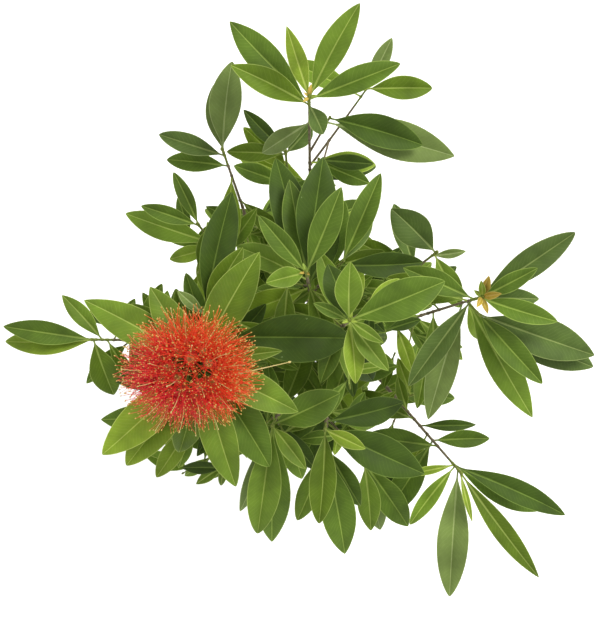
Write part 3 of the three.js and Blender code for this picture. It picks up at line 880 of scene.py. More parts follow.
def half_width_at(leaf, t):
    """Half the blade's width at a share of the leaf's length."""
    share = np.maximum(0, (t - LEAF["stalk"]) / (1 - LEAF["stalk"]))
    blade = leaf["half_width"] * np.maximum(0, np.sin(np.pi * share ** LEAF["widest"])) ** LEAF["taper"]
    return np.maximum(blade, LEAF["stalk_radius"] * (1 - t))


def leaf_points(leaf, t, sideways, height):
    """Places on a leaf, by shares along it, distances to its left and heights off the folded blade."""
    angle = leaf["rise"] - leaf["droop"] * t
    run = leaf["length"] * (np.sin(leaf["rise"]) - np.sin(angle)) / leaf["droop"]
    climb = leaf["length"] * (np.cos(angle) - np.cos(leaf["rise"])) / leaf["droop"]
    drift = leaf["length"] * leaf["sway"] * t * t / 2
    ahead = np.array([math.cos(leaf["bearing"]), math.sin(leaf["bearing"]), 0.0])
    left = np.array([-ahead[1], ahead[0], 0.0])
    up = np.array([0.0, 0.0, 1.0])
    normal = -np.sin(angle)[..., None] * ahead + np.cos(angle)[..., None] * up
    roll = (leaf["roll"] * t)[..., None]
    side = left * np.cos(roll) + normal * np.sin(roll)
    face = normal * np.cos(roll) - left * np.sin(roll)
    spine = leaf["base"] + run[..., None] * ahead + climb[..., None] * up + drift[..., None] * left
    spread = (sideways * math.cos(leaf["fold"]))[..., None] * side
    return spine + spread + (np.abs(sideways) * math.sin(leaf["fold"]) + height)[..., None] * face


def leaf_samples(leaf):
    """Points all over the blade, past the part next to the stem."""
    count = math.ceil(leaf["length"] * (1 - LEAF["clear_from"]) / SAMPLE_STEP)
    rows, distances = [], []
    for t in LEAF["clear_from"] + (1 - LEAF["clear_from"]) * np.arange(count + 1) / count:
        half_width = half_width_at(leaf, t)
        half = math.ceil(half_width / SAMPLE_STEP)
        row = half_width * np.arange(-half, half + 1) / max(half, 1)
        rows.append(np.full(len(row), t))
        distances.append(row)
    return leaf_points(leaf, np.concatenate(rows), np.concatenate(distances), 0.0)


shade = {}


def seen_from_above(points):
    """Where points show on a level plane through the crown."""
    share = (EYE[2] - HEART["height"]) / (EYE[2] - points[:, 2])
    return EYE[:2] + (points[:, :2] - EYE[:2]) * share[:, None]


def shade_cells(seen):
    """The cell of the level plane that each place falls in."""
    return [tuple(cell) for cell in np.floor(seen / SHADE_CELL).astype(int)]


def cast_shade(points):
    """Notes the height of the top listed leaf over each cell."""
    for cell, height in zip(shade_cells(seen_from_above(points)), points[:, 2]):
        shade[cell] = max(height, shade.get(cell, 0.0))


def is_hidden(points):
    """Whether a leaf may lie here: beneath a listed leaf, or in the heart outside its light gaps."""
    seen = seen_from_above(points)
    in_gap = np.zeros(len(seen), bool)
    for x, y, radius in GAPS:
        in_gap |= np.hypot(seen[:, 0] - x, seen[:, 1] - y) < radius
    above = np.array([shade.get(cell, np.nan) for cell in shade_cells(seen)])
    in_heart = np.hypot(*(seen - HEART["centre"]).T) < HEART["radius"]
    allowed = np.where(np.isnan(above), in_heart, points[:, 2] < above)
    return np.count_nonzero(allowed & ~in_gap) >= SHADED_SHARE * len(points)


def is_anywhere(points):
    """A listed leaf may lie wherever it has room."""
    return True


def place_leaf(shoot, carrier, listed, is_allowed, tone):
    """Keeps a leaf at the first lift that has room, and gives its samples. Its shape is drawn first."""
    below, bearing, length, rise, *width = listed
    draw = [shoot["random"]() for _ in range(LEAF["draws"])]
    base = carrier["path"].point(1 - below / carrier["path"].chord())
    for lift in LIFTS:
        leaf = make_leaf(base, bearing, length, rise + lift, width[0] if width else None, draw)
        samples = leaf_samples(leaf)
        if is_allowed(samples) and is_clear(samples):
            claim(samples)
            shoot["placed"].append(leaf | {"tone": tone})
            carrier["nodes"].append(below)
            return samples
    return None


def next_older_tone(shoot):
    """The tone of the leaf that a shoot places next."""
    return OLDER_TONES[len(shoot["placed"]) % len(OLDER_TONES)]


def place_older_leaves(shoot, carrier):
    """Older leaves down a stem, from below its listed leaves to its bare foot."""
    draw = shoot["random"]
    bearing = 360 * draw()
    below = min(max(listed[0] for listed in carrier["leaves"]) + OLDER["first"], OLDER["deepest"])
    while below < carrier["path"].chord() - OLDER["bare_foot"]:
        bearing += OLDER["turn"]
        size = between(OLDER["length"], draw())
        rise = between(OLDER["rise"], draw())
        place_leaf(shoot, carrier, (below, bearing, size, rise), is_hidden, next_older_tone(shoot))
        below += OLDER["spacing"]


def grow_side_twig(shoot, carrier, below, bearing):
    """A finer twig with small leaves, where it is hidden and has room. It is kept if it bears any."""
    draw = shoot["random"]
    root = carrier["path"].point(1 - below / carrier["path"].chord())
    length = between(SIDE_TWIG["length"], draw())
    rise = math.radians(between(SIDE_TWIG["rise"], draw()))
    turn = math.radians(bearing)
    reach = np.array([math.cos(rise) * math.cos(turn), math.cos(rise) * math.sin(turn), math.sin(rise)])
    path = stem_path(root, root + length * reach, FINE)
    samples = path.point(np.linspace(LEAF["clear_from"], 1, math.ceil(length / SAMPLE_STEP)))
    if not (is_hidden(samples) and is_clear(samples)):
        return
    twig = {"path": path, "style": FINE, "nodes": []}
    place, angle = SIDE_TWIG["first_leaf"], bearing + SIDE_TWIG["leaf_turn"]
    while place < length - SIDE_TWIG["bare_foot"]:
        angle += OLDER["turn"]
        size = between(SIDE_TWIG["leaf_length"], draw())
        leaf_rise = between(SIDE_TWIG["leaf_rise"], draw())
        place_leaf(shoot, twig, (place, angle, size, leaf_rise), is_hidden, next_older_tone(shoot))
        place += SIDE_TWIG["leaf_spacing"]
    if twig["nodes"]:
        claim(samples)
        shoot["carriers"].append(twig)
        carrier["nodes"].append(below)


def trunk_outline(t, angles):
    """The trunk's radius in each direction, with its root lobes."""
    radius, lobe = trunk_girth(t)
    return radius + lobe * np.cos(TRUNK["lobes"] * angles)


claim(limb_samples(trunk_path, trunk_outline, TRUNK["sample_sides"]))
for shoot in SHOOTS:
    radii = (shoot["bough"]["radius"], BOUGH["tip_radius"])
    claim(limb_samples(paths[shoot["name"]], lambda t, angles: between(radii, t), BOUGH["sample_sides"]))
turns = 2 * np.pi * np.arange(HEAD["around"]) / HEAD["around"]
tilts = np.linspace(0, np.pi, HEAD["down"] + 1)[:, None]
level, upright = np.sin(tilts), np.cos(tilts) + 0 * turns
head_round = np.stack([np.cos(turns) * level, np.sin(turns) * level, upright], -1)
head_size = (HEAD["radius"], HEAD["radius"], HEAD["height"])
claim(HEAD["centre"] + head_round.reshape(-1, 3) * head_size)
for index, shoot in enumerate(SHOOTS):
    shoot["random"] = seeded(SEED["first"] + SEED["step"] * index)
    shoot["placed"] = []
    shoot["carriers"] = []
    for limb in [shoot, *shoot["twigs"]]:
        style = STEM if limb is shoot else TWIG
        carrier = {"path": limb["stem"], "style": style, "leaves": limb["leaves"], "tones": limb["tones"]}
        shoot["carriers"].append(carrier | {"nodes": []})
        claim(limb_samples(limb["stem"], lambda t, angles: radius_along(style, t), style["sides"]))
for shoot in SHOOTS:
    for carrier in shoot["carriers"]:
        for listed, tone in zip(carrier["leaves"], carrier["tones"]):
            samples = place_leaf(shoot, carrier, listed, is_anywhere, tone)
            if samples is not None:
                cast_shade(samples)
for shoot in SHOOTS:
    for carrier in shoot["carriers"]:
        place_older_leaves(shoot, carrier)
around = np.stack([np.cos(turns), np.sin(turns), 0 * turns], -1)
spokes = HEAD["centre"] + (HEAD_COVER, HEAD_COVER * NARROW, 0) * around
for share in np.linspace(0, 1, HEAD["down"]):
    cast_shade(HEAD["centre"] + (spokes - HEAD["centre"]) * share)
for shoot in SHOOTS:
    for carrier in list(shoot["carriers"]):
        bearing = 360 * shoot["random"]()
        below = SIDE_TWIG["first"]
        while below < carrier["path"].chord() - SIDE_TWIG["bare_foot"]:
            bearing += OLDER["turn"]
            grow_side_twig(shoot, carrier, below, bearing)
            below += SIDE_TWIG["spacing"]
shoot = next(shoot for shoot in SHOOTS if shoot["name"] == LAST_LEAF["shoot"])
place_leaf(shoot, shoot["carriers"][0], LAST_LEAF["listed"], is_anywhere, LAST_LEAF["tone"])

# The flower head
# Many flowers open together in one round head. Each is a green cup with a red rim on its own
# short stalk, which holds a ring of long red stamens with yellow anthers, and one pale style.
FLOWERS = {
    "centre": (-93, -11, 386),
    "count": 34,
    "lowest": -0.4,
    "highest": 0.95,
    "out": 24,
    "up": 14,
    "lift": 0.3,
    "size": (0.82, 1.1),
}
# In the looks below, spots are a scale and a detail, and a bump is a strength and a depth.
CUP = {
    "foot": 10,
    "sides": 15,
    "petals": 5,
    "petal_depth": 0.16,
    "mouth": 3.5,
    "spots": (420.0, 3.0),
    "spot_share": 0.5,
    "reddens": (0.1, 0.9),
    "browns": (1.2, 1.9),
    "rough": 0.5,
    "bump": (0.3, 0.2),
}
# Each ring's radius, its height above the rim and its part: 0 at the green foot, 1 at the red rim
# and 2 on the disc inside.
CUP_PROFILE = [
    (0.9, -10, 0), (1.7, -7.5, 0), (3.2, -4.2, 0.2), (4.1, -1.6, 0.7), (4.9, 0.5, 1),
    (4.2, 0.1, 1), (3.2, -1.2, 1.5), (1.9, -1.7, 2), (0.8, -1.0, 2),
]
STAMENS = {
    "each": 50,
    "spread": (8, 84),
    "length": (18, 29),
    "lowest": -0.1,
    "top_cut": 0.16,
    "bend": 0.2,
    "roll": 75,
    "radius": 0.31,
    "taper": 0.5,
    "sides": 3,
    "steps": 6,
    "tip": 0.5,
}
STYLE = {"length": (20, 27), "bend": 0.05, "radius": 0.34, "taper": 0.5, "sides": 5, "steps": 6, "tip": 0.5}
LONG_STYLE_TIP = (-27, -5, 388)  # one style stands out past the stamens
TIP_STRETCH = 1.6  # of a thread's tip, along the thread
PETAL = {"spots": (240.0, 3.0), "edges": (0.3, 0.7), "finish": 0.1, "gloss": 0.2, "bump": (0.2, 0.1)}
HUE_SEED = 977
# The side of the head towards the light is painted orange and lighter, the far side crimson and darker:
# painted light and shade, with a random spread.
LIT_SIDE = (0.9, 0.4, 0.0)
WARMTH_SPREAD = (-0.3, 0.3)
# Each hue goes in patches to its bright colour, which is partly a painted highlight on the threads.
HUES = {
    "crimson": {"until": -0.3, "colour": paint(224, 34, 46), "bright": paint(250, 88, 88)},
    "scarlet": {"until": 0.3, "colour": paint(234, 42, 28), "bright": paint(252, 92, 62)},
    "orange": {"until": 2.0, "colour": paint(240, 62, 26), "bright": paint(252, 112, 62)},
}


def make_filament_tree():
    """A bent filament with a small body at its tip, set on every point by its turn and its reach."""
    inputs = {
        "Length": "NodeSocketFloat",
        "Bend": "NodeSocketFloat",
        "Radius": "NodeSocketFloat",
        "Taper": "NodeSocketFloat",
        "Sides": "NodeSocketInt",
        "Steps": "NodeSocketInt",
        "Tip Size": "NodeSocketFloat",
        "Filament": "NodeSocketMaterial",
        "Tip": "NodeSocketMaterial",
    }
    tree, given, result = geometry_tree("filament", inputs)
    sideways = maths(tree, "MULTIPLY", maths(tree, "MULTIPLY", given["Length"], given["Bend"]), -1.0)
    halfway = maths(tree, "MULTIPLY", given["Length"], 0.5)
    middle = put(tree, "ShaderNodeCombineXYZ", {0: sideways, 2: halfway}).outputs[0]
    end = put(tree, "ShaderNodeCombineXYZ", {2: given["Length"]}).outputs[0]
    bow = {"Resolution": given["Steps"], "Start": (0, 0, 0), "Middle": middle, "End": end}
    line = put(tree, "GeometryNodeCurveQuadraticBezier", bow).outputs[0]
    run = put(tree, "GeometryNodeSplineParameter").outputs["Factor"]
    slimness = maths(tree, "SUBTRACT", 1.0, maths(tree, "MULTIPLY", run, given["Taper"]))
    thread = swept(tree, line, given["Sides"], given["Radius"], slimness)
    round_tip = {"Radius": given["Tip Size"], "Subdivisions": 1}
    ball = put(tree, "GeometryNodeMeshIcoSphere", round_tip).outputs[0]
    moved = {"Geometry": ball, "Translation": end, "Scale": (1, 1, TIP_STRETCH)}
    tip = stored(tree, put(tree, "GeometryNodeTransform", moved).outputs[0], "tip", 1.0)
    joined = put(tree, "GeometryNodeJoinGeometry")
    tree.links.new(thread, joined.inputs[0])
    tree.links.new(tip, joined.inputs[0])
    set_out = {
        "Points": given["Geometry"],
        "Instance": joined.outputs[0],
        "Rotation": named(tree, "turn", "FLOAT_VECTOR"),
        "Scale": named(tree, "reach"),
    }
    many = put(tree, "GeometryNodeInstanceOnPoints", set_out).outputs[0]
    is_tip = maths(tree, "GREATER_THAN", named(tree, "tip"), 0.5)
    tree.links.new(finished(tree, many, given["Filament"], given["Tip"], is_tip), result)
    return tree


def petal_material(name, colour, bright, rough):
    """A soft flower surface in patches of its colour and a brighter one, on the stamens partly painted
    highlight.
    """
    material, tree, shader = new_material(name)
    place = put(tree, "ShaderNodeTexCoord").outputs["Object"]
    mottle = spots(tree, place, *PETAL["spots"])
    hue = mixed(tree, ranged(tree, mottle, PETAL["edges"]), colour, bright)
    finish = ranged(tree, mottle, (0.0, 1.0), (rough - PETAL["finish"], rough + PETAL["finish"]))
    surface = {"Base Color": hue, "Roughness": finish, "Normal": bumps(tree, mottle, *PETAL["bump"])}
    fill(tree, shader, surface | {"Specular IOR Level": PETAL["gloss"]})
    return material


def threads_on(name, threads, style, filament, tip):
    """Threads of one style grown from their roots, turns and reaches, in their two materials."""
    source = bpy.data.meshes.new(name)
    source.from_pydata([tuple(thread["root"] * MM) for thread in threads], [], [])
    turns = source.attributes.new("turn", "FLOAT_VECTOR", "POINT")
    turns.data.foreach_set("vector", [angle for thread in threads for angle in thread["turn"]])
    reaches = source.attributes.new("reach", "FLOAT", "POINT")
    reaches.data.foreach_set("value", [thread["reach"] for thread in threads])
    values = {
        "Length": style["length"][1] * MM,
        "Bend": style["bend"],
        "Radius": style["radius"] * MM,
        "Taper": style["taper"],
        "Sides": style["sides"],
        "Steps": style["steps"],
        "Tip Size": style["tip"] * MM,
        "Filament": filament,
        "Tip": tip,
    }
    return grown(name, source, filament_tree, values)


def thread_turn(aim, outward, roll):
    """The Euler turn that puts a thread's length on its aim and its bend at a roll from outward."""
    side = outward - aim * (outward @ aim)
    side /= np.linalg.norm(side)
    bend = side * math.cos(roll) + np.cross(aim, side) * math.sin(roll)
    return tuple(Matrix(np.stack([bend, np.cross(aim, bend), aim], axis=1).tolist()).to_euler())


filament_tree = make_filament_tree()
flower_draw = seeded(HUE_SEED)
flowers = []
for index in range(FLOWERS["count"]):
    sine = between((FLOWERS["lowest"], FLOWERS["highest"]), (index + 0.5) / FLOWERS["count"])
    bearing = math.radians(OLDER["turn"] * index)
    level = math.sqrt(1 - sine * sine)
    direction = np.array([level * math.cos(bearing), level * math.sin(bearing), sine])
    axis = direction + (0, 0, FLOWERS["lift"])
    axis /= np.linalg.norm(axis)
    first = np.cross(axis, (0.0, 0.0, 1.0))
    first /= np.linalg.norm(first)
    extent = (FLOWERS["out"], FLOWERS["out"] * NARROW, FLOWERS["up"])
    flower = {"mouth": FLOWERS["centre"] + direction * extent, "axis": axis}
    # Painted light and shade: the hue goes orange towards the light and crimson away from it, with a random
    # spread.
    lit_side_and_random_warmth = direction @ LIT_SIDE + between(WARMTH_SPREAD, flower_draw())
    hue = next(name for name, tones in HUES.items() if lit_side_and_random_warmth < tones["until"])
    size = between(FLOWERS["size"], flower_draw())
    flowers.append(flower | {"first": first, "second": np.cross(axis, first), "hue": hue, "size": size})

threads = {hue: [] for hue in HUES}
styles = []
for flower in flowers:
    mouth, axis = flower["mouth"], flower["axis"]
    for number in range(STAMENS["each"]):
        angle = 2 * math.pi * (number + flower_draw()) / STAMENS["each"]
        outward = flower["first"] * math.cos(angle) + flower["second"] * math.sin(angle)
        spread = math.radians(between(STAMENS["spread"], flower_draw()))
        aim = axis * math.cos(spread) + outward * math.sin(spread)
        aim[2] = max(aim[2], STAMENS["lowest"] * flower_draw())
        aim /= np.linalg.norm(aim)
        length = flower["size"] * between(STAMENS["length"], flower_draw())
        length *= 1 - STAMENS["top_cut"] * max(aim[2], 0) ** 2
        aim[1] *= NARROW
        length *= np.linalg.norm(aim)
        aim /= np.linalg.norm(aim)
        roll = math.radians(STAMENS["roll"] * (2 * flower_draw() - 1))
        root = mouth + outward * CUP["mouth"] - axis
        turn = thread_turn(aim, outward, roll)
        reach = length / STAMENS["length"][1]
        threads[flower["hue"]].append({"root": root, "turn": turn, "reach": reach})
    length = between(STYLE["length"], flower_draw())
    turn = thread_turn(axis, flower["first"], 0.0)
    styles.append({"root": mouth - axis, "turn": turn, "reach": length / STYLE["length"][1]})
eastmost = max(styles, key=lambda style: style["root"][0])
aim = LONG_STYLE_TIP - eastmost["root"]
length = np.linalg.norm(aim)
eastmost["turn"] = thread_turn(aim / length, np.array([0.0, 0.0, 1.0]), 0.0)
eastmost["reach"] = length / STYLE["length"][1]

anther_colour = petal_material("anther", paint(190, 148, 66), paint(228, 196, 112), rough=0.6)
for hue, tones in HUES.items():
    stamen_colour = petal_material("stamen_" + hue, tones["colour"], tones["bright"], rough=0.5)
    stamens = threads_on("stamens_" + hue, threads[hue], STAMENS, stamen_colour, anther_colour)
    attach(stamens, "root")
    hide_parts("foliage_flower")
style_colour = petal_material("style", paint(206, 186, 112), paint(230, 214, 150), rough=0.5)
style_threads = threads_on("flower_styles", styles, STYLE, style_colour, style_colour)
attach(style_threads, "root")
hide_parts("foliage_flower")


def cup_mesh():
    """Every flower's cup in one mesh: a turned form with a lobed rim, green below and red above."""
    points, faces, parts = [], [], []
    angles = 2 * np.pi * np.arange(CUP["sides"]) / CUP["sides"]
    for flower in flowers:
        start = len(points)
        for radius, height, part in CUP_PROFILE:
            lobe = CUP["petal_depth"] * np.cos(CUP["petals"] * angles) * min(part, 2 - part)
            for angle, reach in zip(angles, radius * (1 + lobe)):
                sideways = flower["first"] * math.cos(angle) + flower["second"] * math.sin(angle)
                points.append(flower["mouth"] + sideways * reach + flower["axis"] * height)
                parts.append(part)
        sides, rows = CUP["sides"], len(CUP_PROFILE)
        for row in range(rows - 1):
            for k in range(sides):
                a, b = start + row * sides + k, start + row * sides + (k + 1) % sides
                faces.append((a, b, b + sides, a + sides))
        faces.append(tuple(start + k for k in reversed(range(sides))))
        faces.append(tuple(start + (rows - 1) * sides + k for k in range(sides)))
    mesh = bpy.data.meshes.new("flower_cups")
    mesh.from_pydata((np.array(points) * MM).tolist(), [], faces)
    layer = mesh.attributes.new("part", "FLOAT", "POINT")
    layer.data.foreach_set("value", parts)
    mesh.shade_smooth()
    return mesh


cup_material, tree, shader = new_material("flower_cup")
part = put(tree, "ShaderNodeAttribute", attribute_name="part").outputs["Fac"]
place = put(tree, "ShaderNodeTexCoord").outputs["Object"]
mottle = spots(tree, place, *CUP["spots"])
spotted = maths(tree, "MULTIPLY", maths(tree, "SUBTRACT", mottle, 0.5), CUP["spot_share"])
blurred = maths(tree, "ADD", part, spotted)
outside = mixed(tree, ranged(tree, blurred, CUP["reddens"]), paint(132, 136, 62), paint(206, 52, 40))
whole = mixed(tree, ranged(tree, blurred, CUP["browns"]), outside, paint(150, 112, 44))
surface = {"Base Color": whole, "Normal": bumps(tree, mottle, *CUP["bump"]), "Roughness": CUP["rough"]}
fill(tree, shader, surface)
cups = shown("flower_cups", cup_mesh())
cups.data.materials.append(cup_material)
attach(cups, "root")
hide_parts("foliage_flower")

# The stems and twigs
# Young wood that each shoot's leaves sit on: grey-brown at its foot and green near its tip, with
# a swelling where each leaf's stalk joins it and a pointed bud at its end.
WOOD_STEP = 1.2
NODE_SWELL = {"height": 0.35, "reach": 1.5}
GREEN_LENGTH = 24
STEM_SINK = 2.0  # how far a stem starts back inside its bough
BUD = {"length": 4.5, "steps": 8, "swell": 1.9, "low": 0.7, "full": 0.8, "neck": 0.45, "point": 0.1}
FLOWER_STALK = {"steps": 10, "radius": 0.95, "sag": 1.5}
WOOD_SIDES = 10
colours = (paint(92, 80, 62), paint(150, 136, 110), paint(172, 160, 136))
stem_bark = bark_material("stem_bark", *colours, depth=0.2)
colours = (paint(98, 112, 46), paint(142, 154, 72), paint(160, 160, 92))
green_bark = bark_material("green_stem", *colours, depth=0.12)


def wood_strand(carrier, sink):
    """A stem's centre line with its thickness, swollen at each leaf, its bud, and where it is green."""
    path, style = carrier["path"], carrier["style"]
    places = np.linspace(0, 1, math.ceil(path.length() / WOOD_STEP) + 1)
    points = path.point(places)
    points[0] -= sink * path.tangent(0)
    below = (1 - places) * path.chord()
    plain = radius_along(style, places)
    swelling = np.zeros_like(places)
    for node in carrier["nodes"]:
        swelling = np.maximum(swelling, np.exp(-(((below - node) / NODE_SWELL["reach"]) ** 2)))
    past = np.arange(1, BUD["steps"] + 1) / BUD["steps"]
    size = style["tip_radius"] / STEM["tip_radius"]
    bud_points = points[-1] + np.outer(past * BUD["length"] * size, path.tangent(1))
    bulge = np.sin(np.pi * past ** BUD["low"]) ** BUD["full"] * (BUD["swell"] - 1)
    bud_girth = style["tip_radius"] * (np.maximum(1 - past, 0) ** BUD["neck"] + bulge)
    bud_girth[-1] = style["tip_radius"] * BUD["point"]
    return {
        "points": np.concatenate([points, bud_points]),
        "thickness": np.concatenate([plain + NODE_SWELL["height"] * swelling, bud_girth]),
        "youth": np.concatenate([np.where(below < GREEN_LENGTH, 1.0, 0.0), np.ones(BUD["steps"])]),
    }


def flower_stalk(flower, start):
    """The short stalk from the stem's tip to one flower's cup."""
    foot = flower["mouth"] - CUP["foot"] * flower["axis"]
    middle = (start + foot) / 2 - (0, 0, FLOWER_STALK["sag"])
    points = Path(start, middle, foot + flower["axis"]).point(np.linspace(0, 1, FLOWER_STALK["steps"]))
    return {"points": points, "thickness": FLOWER_STALK["radius"], "youth": 1.0}


for shoot in SHOOTS:
    strands = []
    for index, carrier in enumerate(shoot["carriers"]):
        strands.append(wood_strand(carrier, STEM_SINK if index == 0 else 0.0))
    if shoot["name"] == "flower":
        strands += [flower_stalk(flower, shoot["stem"].point(1.0)) for flower in flowers]
    name = "foliage_" + shoot["name"]
    wood = wood_piece(name + "_twigs", strands, WOOD_SIDES, stem_bark, green_bark)
    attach(wood, "root")
    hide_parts(name)

# The leaves
# Leathery blades with a pale midrib and a pale margin, a little arched on each side of the fold,
# each on a short stalk that starts inside its stem. Small new ones stand round the top buds.
BLADE = {"stalk": 0.055, "widest": 1.06, "base_power": 1.0, "tip_power": (0.88, 0.68), "fold_share": 1.4}
STALK_FADE = {"past": 0.05, "length": 0.08}  # where the stalk's thickness gives way to the blade's
# The shares along a leaf where its rings stand, closer together at its stalk and its tip.
STATIONS = np.concatenate([[0, 0.02, 0.04, 0.065], np.linspace(0.09, 0.9, 14), [0.94, 0.968, 0.986, 0.996]])
RIB = {"root": 0.8, "tip": 0.22, "most": 0.55}
MARGIN = {"width": 0.46, "least": 0.8}
ARCH = 0.3  # of the blade's half width, at the middle of each side
WAVES = {"height": 0.1, "count": 2.3, "widest": 8}
# A leaf's thicknesses, which are less on a leaf whose half width is under "full_from".
THICK = {"blade": 0.32, "rib": 0.6, "beside_rib": 0.25, "stalk": 0.9, "stalk_side": 0.55, "full_from": 6}
SHARP = math.radians(55)
VEIN, UPPER, UNDER = 0, 1, 2
UPPER_STRIPS = [VEIN, UPPER, UPPER, UPPER, VEIN, VEIN, UPPER, UPPER, UPPER, VEIN]
STRIPS = UPPER_STRIPS + [UNDER, UNDER, UNDER, VEIN, VEIN, UNDER, UNDER, UNDER]
LEAF_SKIN = {
    "patches": (60.0, 4.0),
    "patch_edges": (0.3, 0.7),
    "patch_light": (0.78, 1.22),
    "own_light": (0.85, 1.15),
    "grain": (900.0, 2.0),
    "grain_height": 0.6,
    "vein_slant": 0.9,
    "vein_wander": 9.0,
    "vein_spacing": 3.1,
    "vein_sharpness": 6.0,
    "vein_height": -0.5,
    "finish": (0.5, 0.68),
    "bump": (0.35, 0.25),
}
TUFT = {"rise": (46, 74), "width": 0.28, "stalk_radius": 0.4}
TUFTS = {
    "leader": {"tones": "yyy", "length": (6, 11)},
    "centre": {"tones": "nnb", "length": (5, 9)},
    "north": {"tones": "nnbn", "length": (6, 11)},
    "east": {"tones": "ynnyn", "length": (9, 20)},
}
# Besides leaf colour, light tones are partly painted light, d partly painted shade, g and p partly painted
# sheen.
TONES = {
    "y": {"skin": paint(130, 156, 44), "veins": paint(178, 196, 92)},
    "b": {"skin": paint(108, 136, 40), "veins": paint(158, 178, 84)},
    "m": {"skin": paint(86, 112, 32), "veins": paint(136, 158, 70)},
    "d": {"skin": paint(60, 82, 20), "veins": paint(100, 122, 50)},
    "o": {"skin": paint(90, 114, 24), "veins": paint(142, 160, 74)},
    "g": {"skin": paint(84, 106, 46), "veins": paint(134, 150, 86)},
    "p": {"skin": paint(112, 132, 66), "veins": paint(152, 168, 106)},
    "n": {"skin": paint(176, 150, 56), "veins": paint(200, 176, 92)},
}


def blade_width(leaf, t):
    """Half the finished blade's width: a long wedge at the base and a fuller tip."""
    share = np.clip((t - BLADE["stalk"]) / (1 - BLADE["stalk"]), 0, 1) ** BLADE["widest"]
    power = np.where(share < 0.5, BLADE["base_power"], between(BLADE["tip_power"], leaf["blunt"]))
    blade = leaf["half_width"] * np.maximum(0, np.sin(np.pi * share)) ** power
    return np.maximum(blade, leaf.get("stalk_radius", LEAF["stalk_radius"]) * (1 - t))


def leaf_rings(leaf):
    """A finished leaf's rings, over the upper side from left to right and back below, and each
    point's place on the blade in millimetres, with the leaf's own shade."""
    t = STATIONS
    half = blade_width(leaf, t)
    rib = np.minimum(RIB["most"], between((RIB["root"], RIB["tip"]), t) / half)
    edge = np.maximum(MARGIN["least"], 1 - MARGIN["width"] / half)
    inner, outer = between((rib, edge), 1 / 3), between((rib, edge), 2 / 3)
    one, none = np.ones_like(t), np.zeros_like(t)
    upper = [one, edge, outer, inner, rib, none, -rib, -inner, -outer, -edge, -one]
    lower = [-outer, -inner, -rib, none, rib, inner, outer]
    across = np.stack(upper + lower, axis=1)
    share = np.abs(across)
    stalk = np.clip((BLADE["stalk"] + STALK_FADE["past"] - t) / STALK_FADE["length"], 0, 1)
    size = min(1.0, leaf["half_width"] / THICK["full_from"])
    arch = ARCH * share * (1 - share) * half[:, None]
    phase = 2 * np.pi * (WAVES["count"] * t + leaf["shade"])
    wave_height = WAVES["height"] * leaf["wave"] * np.minimum(half, WAVES["widest"]) * np.sin(phase)
    ripple = share**2 * wave_height[:, None]
    height = (arch + ripple) * (1 - stalk)[:, None]
    thin = THICK["blade"] + (THICK["stalk_side"] - THICK["blade"]) * stalk
    deep = THICK["rib"] * (1 - t) + THICK["blade"] + (THICK["stalk"] - THICK["rib"]) * stalk
    beside = between((thin, deep), THICK["beside_rib"])
    height[:, len(upper) :] -= size * np.stack([thin, thin, beside, deep, beside, thin, thin], axis=1)
    places = np.broadcast_to(t[:, None], across.shape)
    sideways = across * half[:, None]
    folded = leaf | {"fold": leaf["fold"] * BLADE["fold_share"]}
    rings = leaf_points(folded, places, sideways, height)
    marks = np.stack([sideways, places * leaf["length"], np.full_like(across, leaf["shade"])], axis=-1)
    return rings, marks


def leaf_faces():
    """The faces of one leaf over its rings, with each face's part, and the tip as the last point."""
    count, wide = len(STATIONS), len(STRIPS)
    faces, parts = [tuple(range(wide - 1, -1, -1))], [VEIN]
    for i in range(count):
        for k in range(wide):
            a, b = i * wide + k, i * wide + (k + 1) % wide
            part = VEIN if STATIONS[i] < BLADE["stalk"] else STRIPS[k]
            if i + 1 < count:
                faces.append((a, b, b + wide, a + wide))
            else:
                faces.append((a, b, count * wide))
            parts.append(part)
    return faces, np.array(parts)


def make_leaf_group():
    """A leaf's skin: fine side veins, mottling and its own shade."""
    inputs = {"Blade": "Vector", "Skin": "Color", "Veins": "Color", "Vein Share": "Float"}
    tree, given = skin_group("leaf skin", inputs)
    parts = put(tree, "ShaderNodeSeparateXYZ", {0: given["Blade"]}).outputs
    place = put(tree, "ShaderNodeTexCoord").outputs["Object"]
    patches = spots(tree, place, *LEAF_SKIN["patches"])
    fine = spots(tree, place, *LEAF_SKIN["grain"])
    slant = maths(tree, "MULTIPLY", maths(tree, "ABSOLUTE", parts[0]), LEAF_SKIN["vein_slant"])
    wander = maths(tree, "MULTIPLY", patches, LEAF_SKIN["vein_wander"])
    run = maths(tree, "ADD", maths(tree, "SUBTRACT", parts[1], slant), wander)
    wave = maths(tree, "SINE", maths(tree, "MULTIPLY", run, math.pi / LEAF_SKIN["vein_spacing"]))
    crest = maths(tree, "SUBTRACT", 1.0, maths(tree, "ABSOLUTE", wave))
    lines = maths(tree, "POWER", crest, LEAF_SKIN["vein_sharpness"])
    share = maths(tree, "MULTIPLY", maths(tree, "MULTIPLY", lines, patches), given["Vein Share"])
    veined = mixed(tree, share, given["Skin"], given["Veins"])
    light = ranged(tree, patches, LEAF_SKIN["patch_edges"], LEAF_SKIN["patch_light"])
    own = ranged(tree, parts[2], (0.0, 1.0), LEAF_SKIN["own_light"])
    toned = scaled(tree, veined, maths(tree, "MULTIPLY", light, own))
    rough = ranged(tree, patches, (0.0, 1.0), LEAF_SKIN["finish"])
    grooves = maths(tree, "MULTIPLY", lines, LEAF_SKIN["vein_height"])
    height = maths(tree, "ADD", grooves, maths(tree, "MULTIPLY", fine, LEAF_SKIN["grain_height"]))
    put(tree, "NodeGroupOutput", {"Color": toned, "Roughness": rough, "Height": height})
    return tree


leaf_group = make_leaf_group()


